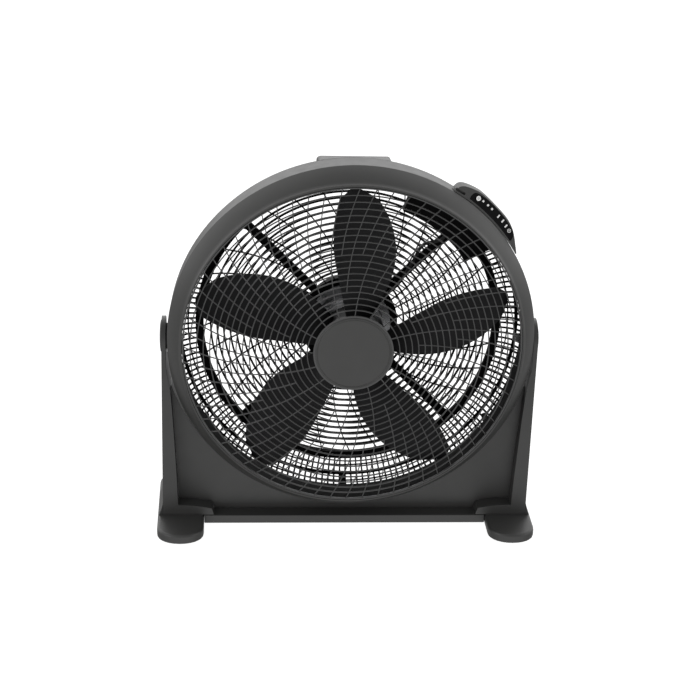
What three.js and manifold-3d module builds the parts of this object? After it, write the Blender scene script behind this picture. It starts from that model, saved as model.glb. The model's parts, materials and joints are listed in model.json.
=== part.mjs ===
// Tilting drum fan on a low floor stand. Millimetres, +Z up, the fan blows towards -Y.
// The origin is on the floor, under the middle of the stand.
// "left" and "right" are as seen from in front, so left is -X.
import * as THREE from 'three';
import { mergeVertices } from 'three/addons/utils/BufferGeometryUtils.js';
import Module from 'manifold-3d';

const wasm = await Module();
wasm.setup();

// ---------- driving dimensions ----------
const GAP = 0.3;                 // between pieces that touch
const SEGMENTS = 48;             // round the drum

// stand
const ARM_OUTER = 289;           // outer face of an arm, from the middle
const ARM_TOP_INNER = 282.3;
const ARM_TOP_RADIUS = 31;
const ARM_HALF_DEPTH = 40;
const FOOT_TOP = 17;
const FOOT_BOTTOM = 2;
const FOOT_CENTRE = 260.5;
const FOOT_HALF_WIDTH = 36.5;
const FOOT_HALF_LENGTH = 106;
const FOOT_END_LENGTH = 31;      // how far a foot's round end reaches beyond its straight sides
const RAIL_TOP = 16;
const PANEL_FRONT = -15;
const PANEL_THICKNESS = 4;
const PANEL_HOLE_RADIUS = 288;
const PANEL_FLANGE_RADIUS = 290.6;
const PANEL_FLANGE_REAR = 22;
const PAD_RADIUS = 14;
const PAD_HEIGHT = 3.2;
const PAD_PLACE = 78;            // pads lie this far in front of and behind the pivot

// pivot and drum
const PIVOT_HEIGHT = 309;
const DRUM_HEIGHT = 319;         // height of the drum's axis
const DRUM_FRONT = -40;          // Y of the bezel's outer edge, y = 0 in the drum's own frame
const DRUM_RADIUS = 280;
const WALL_REAR_RADIUS = 278;
const WALL_REAR = 42;
const WALL = 2.6;
const BEZEL_INNER_RADIUS = 257;
const BEZEL_DEPTH = 33;
const DUCT_RADIUS = 262.6;       // inside of the duct ring
const DUCT_OUTER_RADIUS = 265;
const DUCT_REAR = 30;
const BOLT_RADIUS = 4;
const BORE_RADIUS = BOLT_RADIUS + GAP;

// rear shell, a quarter ellipse from the wall to the rear grille
const SHELL_CENTRE_RADIUS = 236;
const SHELL_RADIAL = 41;
const SHELL_AXIAL = 31;
const SHELL_START = WALL_REAR + GAP;
const SHELL_INNER_RADIUS = 226;
const REAR_GRILLE_FRONT = SHELL_START + SHELL_AXIAL + GAP;
const REAR_GRILLE_RADIUS = 236;
const REAR_GRILLE_THICKNESS = 4;

// front grille
const GRILLE_RIM_RADIUS = 256.4;
const GRILLE_HUB_RADIUS = 60;
const GRILLE_RIM_Y = -31;
const GRILLE_HUB_Y = -46;
const GRILLE_TWIST = 17.5;       // degrees that a spoke turns from hub to rim
const BADGE_RADIUS = 57.5;

// blade wheel
const BLADES = 5;
const BLADE_ROOT = 45;
const BLADE_TIP = 247;
const TIP_ROUNDING = 14;         // how far the tip's corners are drawn in
const HUB_FRONT = -30.5;
const HUB_RADIUS = 47;

// motor
const MOTOR_RADIUS = 52;
const FLANGE_RADIUS = 65;
const SHAFT_RADIUS = 4;
const MOTOR_SCREW_CIRCLE = 59;
const COVER_RADIUS = 70;
const COVER_REAR = 111;
const STATOR_FRONT = 50;
const STATOR_REAR = 80;
const MOTOR_FRONT = 30;

// control pod, on the drum's wall at the upper right
const POD_ANGLE = 45;            // middle of the pod, from +X towards +Z
const PANEL_TILT = 24;           // the panel leans back, degrees
const POD_INNER = 280.6;
const POD_REAR = 26;
// Each window of the light guide: radius, angle from the pod's middle, half width, half length.
const WINDOWS = [
  [293.6, 4.8, 1.5, 1.5], [293.8, 2.9, 1.5, 1.5], [293.9, 1.2, 1.5, 1.5],
  [293.4, -1.8, 1.15, 2.8], [293.5, -3.75, 1.15, 2.8], [292.4, -5.55, 1.15, 2.8],
];
const BUTTONS = {
  speed_button: { r: 292, angle: 6.6, radius: 4.15 },
  timer_button: { r: 291.4, angle: -7.2, radius: 3.3 },
};
const POD_PIVOT_Y = 4;           // where the leaning plane crosses the wall's radius

// carry handle, behind the top of the drum's wall
const HANDLE_HALF = 56;
const HANDLE_FRONT = 43;
const HANDLE_REAR = 98;
const HANDLE_FRONT_HEIGHT = 272;
const HANDLE_BEND = 87;          // the top leans back gently to here, then falls to the rear
const HANDLE_BEND_HEIGHT = 266.7;
const HANDLE_LEAN = 7;           // how far the top leans back, in degrees
const HANDLE_CORNER = 9;         // rounding of the top's two ends
const HANDLE_REAR_HEIGHT = 257.3;
const HANDLE_LIP = 248;          // lower edge of the rear lip
const HANDLE_WALL = 3.5;

// ---------- materials ----------
function material(color, roughness, metalness = 0) {
  return new THREE.MeshStandardMaterial({ color, roughness, metalness });
}
const charcoal = () => material(0x454545, 0.55);
const black = () => material(0x141415, 0.45);
const glossBlack = () => material(0x0a0a0b, 0.12);
const rubber = () => material(0x1b1b1b, 0.9);
const steel = () => material(0x9a9b9d, 0.35, 1);
const bronze = () => material(0x8a6a3c, 0.4, 1);
const copper = () => material(0xb06a3a, 0.4, 1);
const whiteLens = () => material(0xf2f2ee, 0.3);
const circuitGreen = () => material(0x1f5a35, 0.5);

// ---------- geometry kit ----------
const rad = THREE.MathUtils.degToRad;

// Merges shared vertices, drops slivers and turns the faces outward.
function closed(source) {
  let geometry = source.clone();
  geometry.deleteAttribute('normal');
  geometry.deleteAttribute('uv');
  geometry = mergeVertices(geometry, 1e-4);
  const p = geometry.attributes.position;
  const old = geometry.index.array;
  const a = new THREE.Vector3();
  const b = new THREE.Vector3();
  const c = new THREE.Vector3();
  const kept = [];
  let volume = 0;
  for (let i = 0; i < old.length; i += 3) {
    const [u, v, w] = [old[i], old[i + 1], old[i + 2]];
    if (u === v || v === w || w === u) continue;
    kept.push(u, v, w);
    a.fromBufferAttribute(p, u);
    b.fromBufferAttribute(p, v);
    c.fromBufferAttribute(p, w);
    volume += a.dot(b.cross(c));
  }
  if (volume < 0) kept.reverse();
  geometry.setIndex(kept);
  return geometry;
}

function toSolid(geometry) {
  const g = closed(geometry);
  return new wasm.Manifold(new wasm.Mesh({
    numProp: 3,
    vertProperties: new Float32Array(g.attributes.position.array),
    triVerts: new Uint32Array(g.index.array),
  }));
}

function toGeometry(solid) {
  const mesh = solid.getMesh();
  const geometry = new THREE.BufferGeometry();
  geometry.setAttribute('position', new THREE.BufferAttribute(mesh.vertProperties, 3));
  geometry.setIndex(new THREE.BufferAttribute(mesh.triVerts, 1));
  return geometry;
}

function cut(geometry, ...tools) {
  return toGeometry(tools.reduce((solid, tool) => solid.subtract(toSolid(tool)), toSolid(geometry)));
}

function join(geometry, ...others) {
  return toGeometry(others.reduce((solid, other) => solid.add(toSolid(other)), toSolid(geometry)));
}

function overlap(geometry, other) {
  return toGeometry(toSolid(geometry).intersect(toSolid(other)));
}

// Turns [radius, y] pairs round the Y axis.
function lathe(profile, segments = SEGMENTS) {
  const points = profile.map(([r, y]) => new THREE.Vector2(r, y));
  return new THREE.LatheGeometry([...points, points[0]], segments);
}

function ringAround(inner, outer, from, to, segments = SEGMENTS) {
  return lathe([[inner, from], [outer, from], [outer, to], [inner, to]], segments);
}

// A round bar between two points.
function bar(from, to, radius, segments = 16) {
  const a = new THREE.Vector3(...from);
  const b = new THREE.Vector3(...to);
  const geometry = new THREE.CylinderGeometry(radius, radius, a.distanceTo(b), segments);
  const turn = new THREE.Quaternion().setFromUnitVectors(
    new THREE.Vector3(0, 1, 0), b.clone().sub(a).normalize());
  geometry.applyQuaternion(turn);
  const middle = a.add(b).multiplyScalar(0.5);
  return geometry.translate(middle.x, middle.y, middle.z);
}

function block(x0, x1, y0, y1, z0, z1) {
  const geometry = new THREE.BoxGeometry(x1 - x0, y1 - y0, z1 - z0);
  return geometry.translate((x0 + x1) / 2, (y0 + y1) / 2, (z0 + z1) / 2);
}

function shapeOf(points) {
  return new THREE.Shape(points.map(([u, v]) => new THREE.Vector2(u, v)));
}

// Extrudes an outline drawn in X and Z from y0 back to y1.
function extrudeAlongY(shape, y0, y1, curveSegments = 12) {
  const geometry = new THREE.ExtrudeGeometry(shape, { depth: y1 - y0, bevelEnabled: false, curveSegments });
  const basis = new THREE.Matrix4().makeBasis(
    new THREE.Vector3(1, 0, 0), new THREE.Vector3(0, 0, 1), new THREE.Vector3(0, -1, 0));
  return geometry.applyMatrix4(basis).translate(0, y1, 0);
}

// Extrudes an outline drawn in Y and Z from x0 to x1.
function extrudeAlongX(shape, x0, x1, curveSegments = 12) {
  const geometry = new THREE.ExtrudeGeometry(shape, { depth: x1 - x0, bevelEnabled: false, curveSegments });
  const basis = new THREE.Matrix4().makeBasis(
    new THREE.Vector3(0, 1, 0), new THREE.Vector3(0, 0, 1), new THREE.Vector3(1, 0, 0));
  return geometry.applyMatrix4(basis).translate(x0, 0, 0);
}

// Stacks outlines of the same number of points into one body with flat ends.
function loft(sections) {
  const count = sections[0].length;
  const positions = sections.flat(2);
  const index = [];
  for (let s = 0; s < sections.length - 1; s += 1) {
    for (let i = 0; i < count; i += 1) {
      const j = (i + 1) % count;
      const [a, b] = [s * count + i, s * count + j];
      index.push(a, b, b + count, a, b + count, a + count);
    }
  }
  const last = (sections.length - 1) * count;
  for (let i = 1; i < count - 1; i += 1) {
    index.push(0, i + 1, i, last, last + i, last + i + 1);
  }
  const geometry = new THREE.BufferGeometry();
  geometry.setAttribute('position', new THREE.Float32BufferAttribute(positions, 3));
  return geometry.setIndex(index);
}

// A skin of two point grids, near and far, with openings: near[i][j] faces far[i][j],
// isOpen(i, j) tells whether the cell between rows i, i+1 and columns j, j+1 is left out.
function skin(near, far, isOpen, wrap) {
  const rows = near.length;
  const columns = near[0].length;
  const cellColumns = wrap ? columns : columns - 1;
  const positions = [...near.flat(2), ...far.flat(2)];
  const back = rows * columns;
  const at = (i, j) => i * columns + (j % columns);
  const filled = (i, j) => {
    if (i < 0 || i >= rows - 1) return false;
    if (!wrap && (j < 0 || j >= cellColumns)) return false;
    return !isOpen(i, (j + cellColumns) % cellColumns);
  };
  const index = [];
  const quad = (a, b, c, d) => index.push(a, b, c, a, c, d);
  for (let i = 0; i < rows - 1; i += 1) {
    for (let j = 0; j < cellColumns; j += 1) {
      if (!filled(i, j)) continue;
      const [a, b, c, d] = [at(i, j), at(i, j + 1), at(i + 1, j + 1), at(i + 1, j)];
      quad(a, b, c, d);
      quad(d + back, c + back, b + back, a + back);
      if (!filled(i - 1, j)) quad(b, a, a + back, b + back);
      if (!filled(i, j + 1)) quad(c, b, b + back, c + back);
      if (!filled(i + 1, j)) quad(d, c, c + back, d + back);
      if (!filled(i, j - 1)) quad(a, d, d + back, a + back);
    }
  }
  const geometry = new THREE.BufferGeometry();
  geometry.setAttribute('position', new THREE.Float32BufferAttribute(positions, 3));
  return geometry.setIndex(index);
}

// Angles, in degrees, of alternating gaps and ribs: cell 2k is a gap, cell 2k+1 a rib.
function ribAngles(count, ribWidth, offset = 0) {
  const angles = [];
  for (let k = 0; k < count; k += 1) {
    const start = offset + (k * 360) / count + ribWidth / 2;
    angles.push(start, start + 360 / count - ribWidth);
  }
  return angles;
}

// A round grille about the Y axis. rows holds { r, y, open }, from hub to rim, where open
// says that the band from this row to the next one is open between its ribs.
function roundGrille(rows, thickness, angles, twistAt) {
  const grid = (shift) => rows.map(({ r, y }) => angles.map((angle) => {
    const turned = rad(angle + twistAt(r));
    return [r * Math.cos(turned), y + shift, r * Math.sin(turned)];
  }));
  return skin(grid(0), grid(thickness), (i, j) => rows[i].open && j % 2 === 0, true);
}

const polar = (r, degrees, y) => [r * Math.cos(rad(degrees)), y, r * Math.sin(rad(degrees))];

function addPiece(group, name, geometry, pieceMaterial) {
  const mesh = new THREE.Mesh(closed(geometry), pieceMaterial);
  mesh.name = name;
  group.add(mesh);
}

const SIDES = { left: -1, right: 1 };

// ---------- stand ----------
// Front outline of the right arm with the corner block at its foot, as [x, z].
const ARM_INNER_EDGE = [[ARM_TOP_INNER, 269], [275, 219], [268, 103], [265, 34]];
const CORNER_TOP = [[265, 34], [241, 33], [212, 28.5], [209, 19]];
const FOOT_SCREW_BORE = 2.3;
const FOOT_SCREW_END = FOOT_TOP + 11;

function armGeometry(side) {
  const bottom = FOOT_TOP + GAP;
  const top = PIVOT_HEIGHT + ARM_TOP_RADIUS + 3;
  const front = [
    [ARM_OUTER, bottom], [ARM_OUTER, top], [ARM_TOP_INNER, top],
    ...ARM_INNER_EDGE, ...CORNER_TOP.slice(1), [209, bottom],
  ].map(([x, z]) => [side * x, z]);
  const profile = new THREE.Shape();
  profile.moveTo(-ARM_HALF_DEPTH, bottom);
  profile.lineTo(ARM_HALF_DEPTH, bottom);
  profile.lineTo(ARM_TOP_RADIUS, PIVOT_HEIGHT - 6);
  profile.absarc(0, PIVOT_HEIGHT, ARM_TOP_RADIUS, 0, Math.PI, false);
  profile.lineTo(-ARM_TOP_RADIUS, PIVOT_HEIGHT - 6);
  const [low, high] = side > 0 ? [200, 300] : [-300, -200];
  const body = overlap(
    extrudeAlongY(shapeOf(front), -60, 60), extrudeAlongX(profile, low, high));
  return cut(
    body,
    bar([side * 270, 0, PIVOT_HEIGHT], [side * 300, 0, PIVOT_HEIGHT], BORE_RADIUS),
    bar([side * 285, 0, PIVOT_HEIGHT], [side * 300, 0, PIVOT_HEIGHT], 12),
    bar([side * FOOT_CENTRE, 0, 0], [side * FOOT_CENTRE, 0, FOOT_SCREW_END + 1], FOOT_SCREW_BORE, 12),
  );
}

function railGeometry() {
  const half = FOOT_CENTRE - FOOT_HALF_WIDTH - GAP;
  return block(-half, half, -ARM_HALF_DEPTH, ARM_HALF_DEPTH, FOOT_BOTTOM, RAIL_TOP);
}

// The recessed web between the arms, cut away round the drum, with a flange back along the cut.
function panelGeometry() {
  const right = [
    [208.6, RAIL_TOP + GAP], [208.6, 19.3], [211.7, 28.9], [240.9, 33.4], [264.7, 34.4],
    [267.7, 103], [274.6, 218.5], [276.4, 232],
  ];
  const left = right.map(([x, z]) => [-x, z]).reverse();
  const outline = shapeOf([...right, ...left]);
  const disc = (radius, from, to) => bar([0, from, DRUM_HEIGHT], [0, to, DRUM_HEIGHT], radius, 96);
  const web = extrudeAlongY(outline, PANEL_FRONT, PANEL_FRONT + PANEL_THICKNESS);
  const flange = overlap(
    extrudeAlongY(outline, PANEL_FRONT, PANEL_FLANGE_REAR),
    disc(PANEL_FLANGE_RADIUS, PANEL_FRONT, PANEL_FLANGE_REAR));
  return cut(join(web, flange), disc(PANEL_HOLE_RADIUS, PANEL_FRONT - 5, PANEL_FLANGE_REAR + 5));
}

// Plan outline of a foot: straight sides and round ends, drawn in by inset.
function footOutline(centre, z, inset) {
  const across = FOOT_HALF_WIDTH - inset;
  const along = FOOT_END_LENGTH - inset;
  const straight = FOOT_HALF_LENGTH - FOOT_END_LENGTH;
  const squareness = 0.95;
  const points = [];
  const steps = 8;
  for (const side of [-1, 1]) {
    for (let i = 0; i <= steps; i += 1) {
      const angle = (i * Math.PI) / steps;
      const [c, s] = [Math.cos(angle), Math.sin(angle)];
      const x = across * Math.sign(c) * Math.abs(c) ** squareness;
      points.push([centre + side * x, side * (straight + along * s ** squareness), z]);
    }
  }
  return points;
}

function footGeometry(side) {
  const centre = side * FOOT_CENTRE;
  const pad = loft([
    footOutline(centre, FOOT_BOTTOM, 1.5),
    footOutline(centre, FOOT_BOTTOM + 2, 0),
    footOutline(centre, FOOT_TOP - 5, 0),
    footOutline(centre, FOOT_TOP - 1, 2.5),
    footOutline(centre, FOOT_TOP, 6),
  ]);
  const flare = [
    [FOOT_CENTRE + FOOT_HALF_WIDTH, 8], [296, 14], [294, 20], [292, 26], [290.5, 31],
    [ARM_OUTER + GAP, 36], [ARM_OUTER + GAP, 8],
  ].map(([x, z]) => [side * x, z]);
  const joined = join(pad, extrudeAlongY(shapeOf(flare), -ARM_HALF_DEPTH, ARM_HALF_DEPTH));
  const pockets = [-PAD_PLACE, PAD_PLACE].map((y) => bar(
    [centre, y, 0], [centre, y, PAD_HEIGHT + GAP], PAD_RADIUS + GAP));
  return cut(
    joined,
    ...pockets,
    bar([centre, 0, 0], [centre, 0, 7.5], 5, 16),
    bar([centre, 0, 0], [centre, 0, FOOT_TOP + 3], FOOT_SCREW_BORE, 12),
  );
}

function footScrewGeometry(side) {
  const x = side * FOOT_CENTRE;
  return join(bar([x, 0, 4.6], [x, 0, 7.2], 4.4, 16), bar([x, 0, 6], [x, 0, FOOT_SCREW_END], 2, 12));
}

function pivotCapGeometry(side) {
  const profile = [[0, 0], [25, 0], [24, 1.2], [18, 2.2], [0, 2.8]];
  const geometry = lathe(profile, 24).rotateZ(side > 0 ? -Math.PI / 2 : Math.PI / 2);
  return geometry.translate(side * (ARM_OUTER + GAP), 0, PIVOT_HEIGHT);
}

function buildStand(root) {
  const stand = new THREE.Group();
  for (const [name, side] of Object.entries(SIDES)) {
    addPiece(stand, `${name}_arm`, armGeometry(side), charcoal());
    addPiece(stand, `${name}_foot`, footGeometry(side), charcoal());
    addPiece(stand, `${name}_foot_screw`, footScrewGeometry(side), steel());
    addPiece(stand, `${name}_pivot_cap`, pivotCapGeometry(side), charcoal());
    for (const [place, y] of [['front', -PAD_PLACE], ['rear', PAD_PLACE]]) {
      const x = side * FOOT_CENTRE;
      addPiece(stand, `${name}_${place}_pad`, bar([x, y, 0], [x, y, PAD_HEIGHT], PAD_RADIUS), rubber());
    }
  }
  addPiece(stand, 'base_rail', railGeometry(), charcoal());
  addPiece(stand, 'stand_panel', panelGeometry(), charcoal());
  root.add(stand);
}

// ---------- drum ----------
const HOUSING_SCREW_ANGLES = [20, 160, 215, 325];
const HOUSING_SCREW_CIRCLE = 270.4;
const PIVOT_Z = PIVOT_HEIGHT - DRUM_HEIGHT;
const PIVOT_Y = -DRUM_FRONT;

// A bore along X through the drum's wall at both pivots.
function pivotBores(radius) {
  return [-1, 1].map((side) => bar(
    [side * 255, PIVOT_Y, PIVOT_Z], [side * 295, PIVOT_Y, PIVOT_Z], radius));
}

function housingGeometry() {
  const bezel = new THREE.QuadraticBezierCurve(
    new THREE.Vector2(BEZEL_INNER_RADIUS, -BEZEL_DEPTH),
    new THREE.Vector2(271.5, -22), new THREE.Vector2(DRUM_RADIUS, 0));
  const outer = bezel.getPoints(3).map(({ x, y }) => [x, y]);
  const profile = [
    ...outer, [WALL_REAR_RADIUS, WALL_REAR], [WALL_REAR_RADIUS - WALL, WALL_REAR],
    [DRUM_RADIUS - WALL, 2], [268.5, -15], [258.5, -27.5], [BEZEL_INNER_RADIUS, -28],
  ];
  const bosses = HOUSING_SCREW_ANGLES.map((angle) => bar(
    polar(HOUSING_SCREW_CIRCLE, angle, 16), polar(HOUSING_SCREW_CIRCLE, angle, WALL_REAR), 5, 12));
  const holes = HOUSING_SCREW_ANGLES.map((angle) => bar(
    polar(HOUSING_SCREW_CIRCLE, angle, 26), polar(HOUSING_SCREW_CIRCLE, angle, WALL_REAR + 9), 2.2, 8));
  return cut(join(lathe(profile), ...bosses), ...holes, ...pivotBores(9 + GAP));
}

// The ring that leads the air past the blade tips, between the screw bosses and the blades.
function ductRingGeometry() {
  return lathe([
    [DUCT_RADIUS, -20.5], [DUCT_OUTER_RADIUS, -17.6], [DUCT_OUTER_RADIUS, DUCT_REAR],
    [DUCT_RADIUS, DUCT_REAR],
  ]);
}

// Point on the rear shell's curve; inset moves it in from the outer surface.
function shellPoint(degrees, inset) {
  const [c, s] = [Math.cos(rad(degrees)), Math.sin(rad(degrees))];
  const normal = new THREE.Vector2(c / SHELL_RADIAL, s / SHELL_AXIAL).normalize();
  return [
    SHELL_CENTRE_RADIUS + SHELL_RADIAL * c - inset * normal.x,
    SHELL_START + SHELL_AXIAL * s - inset * normal.y,
  ];
}

function rearShellGeometry() {
  const bands = [[0, false], [14, true], [46, false], [54, true], [87, false]];
  const angles = ribAngles(24, 5);
  const grid = (inset) => [
    ...bands.map(([degrees]) => shellPoint(degrees, inset)),
    [SHELL_INNER_RADIUS, SHELL_START + SHELL_AXIAL - inset],
  ].map(([r, y]) => angles.map((angle) => polar(r, angle, y)));
  const isOpen = (i, j) => bands[i][1] && j % 2 === 0;
  const shell = skin(grid(0), grid(WALL), isOpen, true);
  const bosses = HOUSING_SCREW_ANGLES.map((angle) => bar(
    polar(HOUSING_SCREW_CIRCLE, angle, SHELL_START), polar(HOUSING_SCREW_CIRCLE, angle, 60), 5, 12));
  const holes = HOUSING_SCREW_ANGLES.map((angle) => bar(
    polar(HOUSING_SCREW_CIRCLE, angle, 30), polar(HOUSING_SCREW_CIRCLE, angle, 70), 2.2, 8));
  return cut(join(shell, ...bosses), ...holes, ...pivotBores(9 + GAP));
}

function rearGrilleGeometry() {
  const rings = [54, 76, 124, 128, 175, 179, 225.5, REAR_GRILLE_RADIUS];
  const rows = rings.map((r, i) => ({ r, y: REAR_GRILLE_FRONT, open: i % 2 === 1 }));
  const twist = (r) => 20 * ((r - 54) / 175);
  const grille = roundGrille(rows, REAR_GRILLE_THICKNESS, ribAngles(16, 2), twist);
  const arms = [45, 135, 225, 315].map((angle) => block(
    66, 228, REAR_GRILLE_FRONT, REAR_GRILLE_FRONT + REAR_GRILLE_THICKNESS, -6.5, 6.5,
  ).rotateY(-rad(angle)));
  const holes = [45, 135, 225, 315].map((angle) => bar(
    polar(MOTOR_SCREW_CIRCLE, angle, 60), polar(MOTOR_SCREW_CIRCLE, angle, 90), 2.3, 12));
  return cut(join(grille, ...arms), ...holes);
}

function frontGrilleGeometry() {
  const rings = [52, GRILLE_HUB_RADIUS, 107, 110, 155, 158, 203, 206, 253, GRILLE_RIM_RADIUS];
  const span = GRILLE_RIM_RADIUS - GRILLE_HUB_RADIUS;
  const height = (r) => {
    const s = Math.max(0, (r - GRILLE_HUB_RADIUS) / span);
    return GRILLE_HUB_Y + (GRILLE_RIM_Y - GRILLE_HUB_Y) * s * s;
  };
  const rows = rings.map((r, i) => ({ r, y: height(r), open: i % 2 === 1 }));
  const twist = (r) => -GRILLE_TWIST * ((r - GRILLE_HUB_RADIUS) / span);
  return roundGrille(rows, 2.6, ribAngles(20, 1.2), twist);
}

function badgeGeometry() {
  return lathe([[0, -47.6], [56, -47.6], [BADGE_RADIUS, -46.3], [50.5, -46.3], [50.5, -41], [0, -41]], 24);
}

function pivotBushGeometry(side) {
  const at = (x) => [side * x, PIVOT_Y, PIVOT_Z];
  const body = join(bar(at(266.5), at(281), 9), bar(at(266.5), at(269), 12));
  return cut(body, bar(at(250), at(290), BORE_RADIUS));
}

function frictionWasherGeometry(side) {
  const at = (x) => [side * x, PIVOT_Y, PIVOT_Z];
  const disc = bar(at(279.3), at(ARM_TOP_INNER - GAP), 20, 24);
  return cut(disc, bar(at(270), at(290), 9 + GAP));
}

function pivotBoltGeometry(side) {
  const at = (x) => [side * x, PIVOT_Y, PIVOT_Z];
  return join(bar(at(254), at(287), BOLT_RADIUS), bar(at(285.3), at(288.6), 8));
}

function pivotNutGeometry(side) {
  const at = (x) => [side * x, PIVOT_Y, PIVOT_Z];
  return cut(bar(at(258), at(266.2), 7.5, 6), bar(at(250), at(270), BORE_RADIUS));
}

// A hooded grip: a sloping top plate with two cheeks and a turned-down rear lip, open below.
function handleGeometry() {
  const sideOutline = (skinDepth) => shapeOf([
    [HANDLE_FRONT - skinDepth, HANDLE_FRONT_HEIGHT - skinDepth],
    [HANDLE_BEND - skinDepth, HANDLE_BEND_HEIGHT - skinDepth],
    [HANDLE_REAR - 5 - skinDepth, HANDLE_REAR_HEIGHT + 2.4 - skinDepth],
    [HANDLE_REAR - skinDepth, HANDLE_REAR_HEIGHT - 5 - skinDepth],
    [HANDLE_REAR - skinDepth, HANDLE_LIP - 3 * skinDepth],
    [HANDLE_FRONT - skinDepth, HANDLE_LIP - 40],
  ]);
  const cornerX = HANDLE_HALF - HANDLE_CORNER;
  const hood = new THREE.Shape();
  hood.moveTo(-HANDLE_HALF, -80);
  hood.lineTo(HANDLE_HALF, -80);
  hood.lineTo(HANDLE_HALF, -HANDLE_CORNER);
  hood.absarc(cornerX, -HANDLE_CORNER, HANDLE_CORNER, 0, Math.PI / 2, false);
  hood.absarc(-cornerX, -HANDLE_CORNER, HANDLE_CORNER, Math.PI / 2, Math.PI, false);
  const along = extrudeAlongY(hood, -30, 80, 3).rotateX(-rad(HANDLE_LEAN));
  along.translate(0, HANDLE_FRONT, HANDLE_FRONT_HEIGHT);
  const reach = HANDLE_HALF + 5;
  const outside = overlap(extrudeAlongX(sideOutline(0), -reach, reach), along);
  const innerHalf = HANDLE_HALF - HANDLE_WALL;
  const inside = extrudeAlongX(sideOutline(HANDLE_WALL), -innerHalf, innerHalf);
  const clearance = -0.6;
  const envelope = [[0, 30], [shellPoint(0, clearance)[0], 30]];
  for (let degrees = 0; degrees < 90; degrees += 15) envelope.push(shellPoint(degrees, clearance));
  const pastGrille = REAR_GRILLE_FRONT + REAR_GRILLE_THICKNESS - clearance;
  envelope.push([REAR_GRILLE_RADIUS - clearance, REAR_GRILLE_FRONT - clearance]);
  envelope.push([REAR_GRILLE_RADIUS - clearance, pastGrille], [0, pastGrille]);
  return cut(outside, inside, lathe(envelope));
}

function cableInletGeometry() {
  const at = (z) => [0, 94, z];
  const body = join(bar(at(-62), at(-74), 6.4), bar(at(-COVER_RADIUS - 0.8), at(-74), 9));
  return cut(body, bar(at(-50), at(-90), 3.8));
}

function buildDrumShell(drum) {
  addPiece(drum, 'front_housing', housingGeometry(), charcoal());
  addPiece(drum, 'duct_ring', ductRingGeometry(), black());
  addPiece(drum, 'rear_shell', rearShellGeometry(), black());
  addPiece(drum, 'rear_grille', rearGrilleGeometry(), black());
  addPiece(drum, 'front_grille', frontGrilleGeometry(), charcoal());
  addPiece(drum, 'grille_badge', badgeGeometry(), charcoal());
  addPiece(drum, 'carry_handle', handleGeometry(), charcoal());
  for (const [name, side] of Object.entries(SIDES)) {
    addPiece(drum, `${name}_pivot_bush`, pivotBushGeometry(side), black());
    addPiece(drum, `${name}_friction_washer`, frictionWasherGeometry(side), rubber());
    addPiece(drum, `${name}_pivot_bolt`, pivotBoltGeometry(side), steel());
    addPiece(drum, `${name}_pivot_nut`, pivotNutGeometry(side), steel());
  }
  HOUSING_SCREW_ANGLES.forEach((angle, i) => {
    const at = (y) => polar(HOUSING_SCREW_CIRCLE, angle, y);
    const screw = join(bar(at(28), at(61), 1.9, 8), bar(at(60.4), at(62.6), 4.2, 12));
    addPiece(drum, `housing_screw_${i + 1}`, screw, steel());
  });
}

// ---------- motor ----------
function motorFrontCoverGeometry() {
  const flange = REAR_GRILLE_FRONT - GAP;
  const cup = lathe([
    [8, MOTOR_FRONT], [44, MOTOR_FRONT], [MOTOR_RADIUS, MOTOR_FRONT + 4], [MOTOR_RADIUS, 69],
    [FLANGE_RADIUS, 69], [FLANGE_RADIUS, flange], [MOTOR_RADIUS - 2, flange],
    [MOTOR_RADIUS - 2, MOTOR_FRONT + 5.5], [43, MOTOR_FRONT + 2.5], [8, MOTOR_FRONT + 2.5],
  ], 24);
  const holes = [45, 135, 225, 315].map((angle) => bar(
    polar(MOTOR_SCREW_CIRCLE, angle, 60), polar(MOTOR_SCREW_CIRCLE, angle, 90), 2.3, 12));
  return cut(cup, ...holes);
}

function motorRearCoverGeometry() {
  const start = REAR_GRILLE_FRONT;
  return lathe([
    [MOTOR_RADIUS - 2, start], [MOTOR_RADIUS, start], [MOTOR_RADIUS, 97], [44, 102], [8, 102],
    [8, 99.5], [43, 99.5], [MOTOR_RADIUS - 2, 96],
  ], 24);
}

function bearingGeometry(from, to) {
  return ringAround(BORE_RADIUS, 7.7, from, to, 16);
}

// Six bars, one in each stator slot.
function slotBars(inner, outer, halfWidth, from, to) {
  return [0, 60, 120, 180, 240, 300].map((angle) => block(
    inner, outer, from, to, -halfWidth, halfWidth).rotateY(-rad(angle)));
}

function statorGeometry() {
  return cut(ringAround(30.5, 49, STATOR_FRONT, STATOR_REAR, 24), ...slotBars(26, 42, 6, STATOR_FRONT - 8, STATOR_REAR + 8));
}

function windingsGeometry() {
  const front = ringAround(33, 45, STATOR_FRONT - 6, STATOR_FRONT - GAP, 24);
  const rear = ringAround(33, 45, STATOR_REAR + GAP, STATOR_REAR + 7, 24);
  return join(front, rear, ...slotBars(34, 41, 5, STATOR_FRONT - 2, STATOR_REAR + 2));
}

function motorCoverGeometry() {
  const r = COVER_RADIUS;
  const start = REAR_GRILLE_FRONT + REAR_GRILLE_THICKNESS + GAP;
  const shell = lathe([
    [r, start], [r, COVER_REAR - 8], [r - 7, COVER_REAR], [0, COVER_REAR],
    [0, COVER_REAR - 2.5], [r - 8, COVER_REAR - 2.5], [r - 2.5, COVER_REAR - 9], [r - 2.5, start],
  ], 24);
  const slots = [-30, -15, 0, 15, 30].map((z) => block(-34, 34, COVER_REAR - 6, COVER_REAR + 4, z - 2, z + 2));
  return cut(shell, ...slots, bar([0, 94, -50], [0, 94, -90], 6.7));
}

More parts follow.
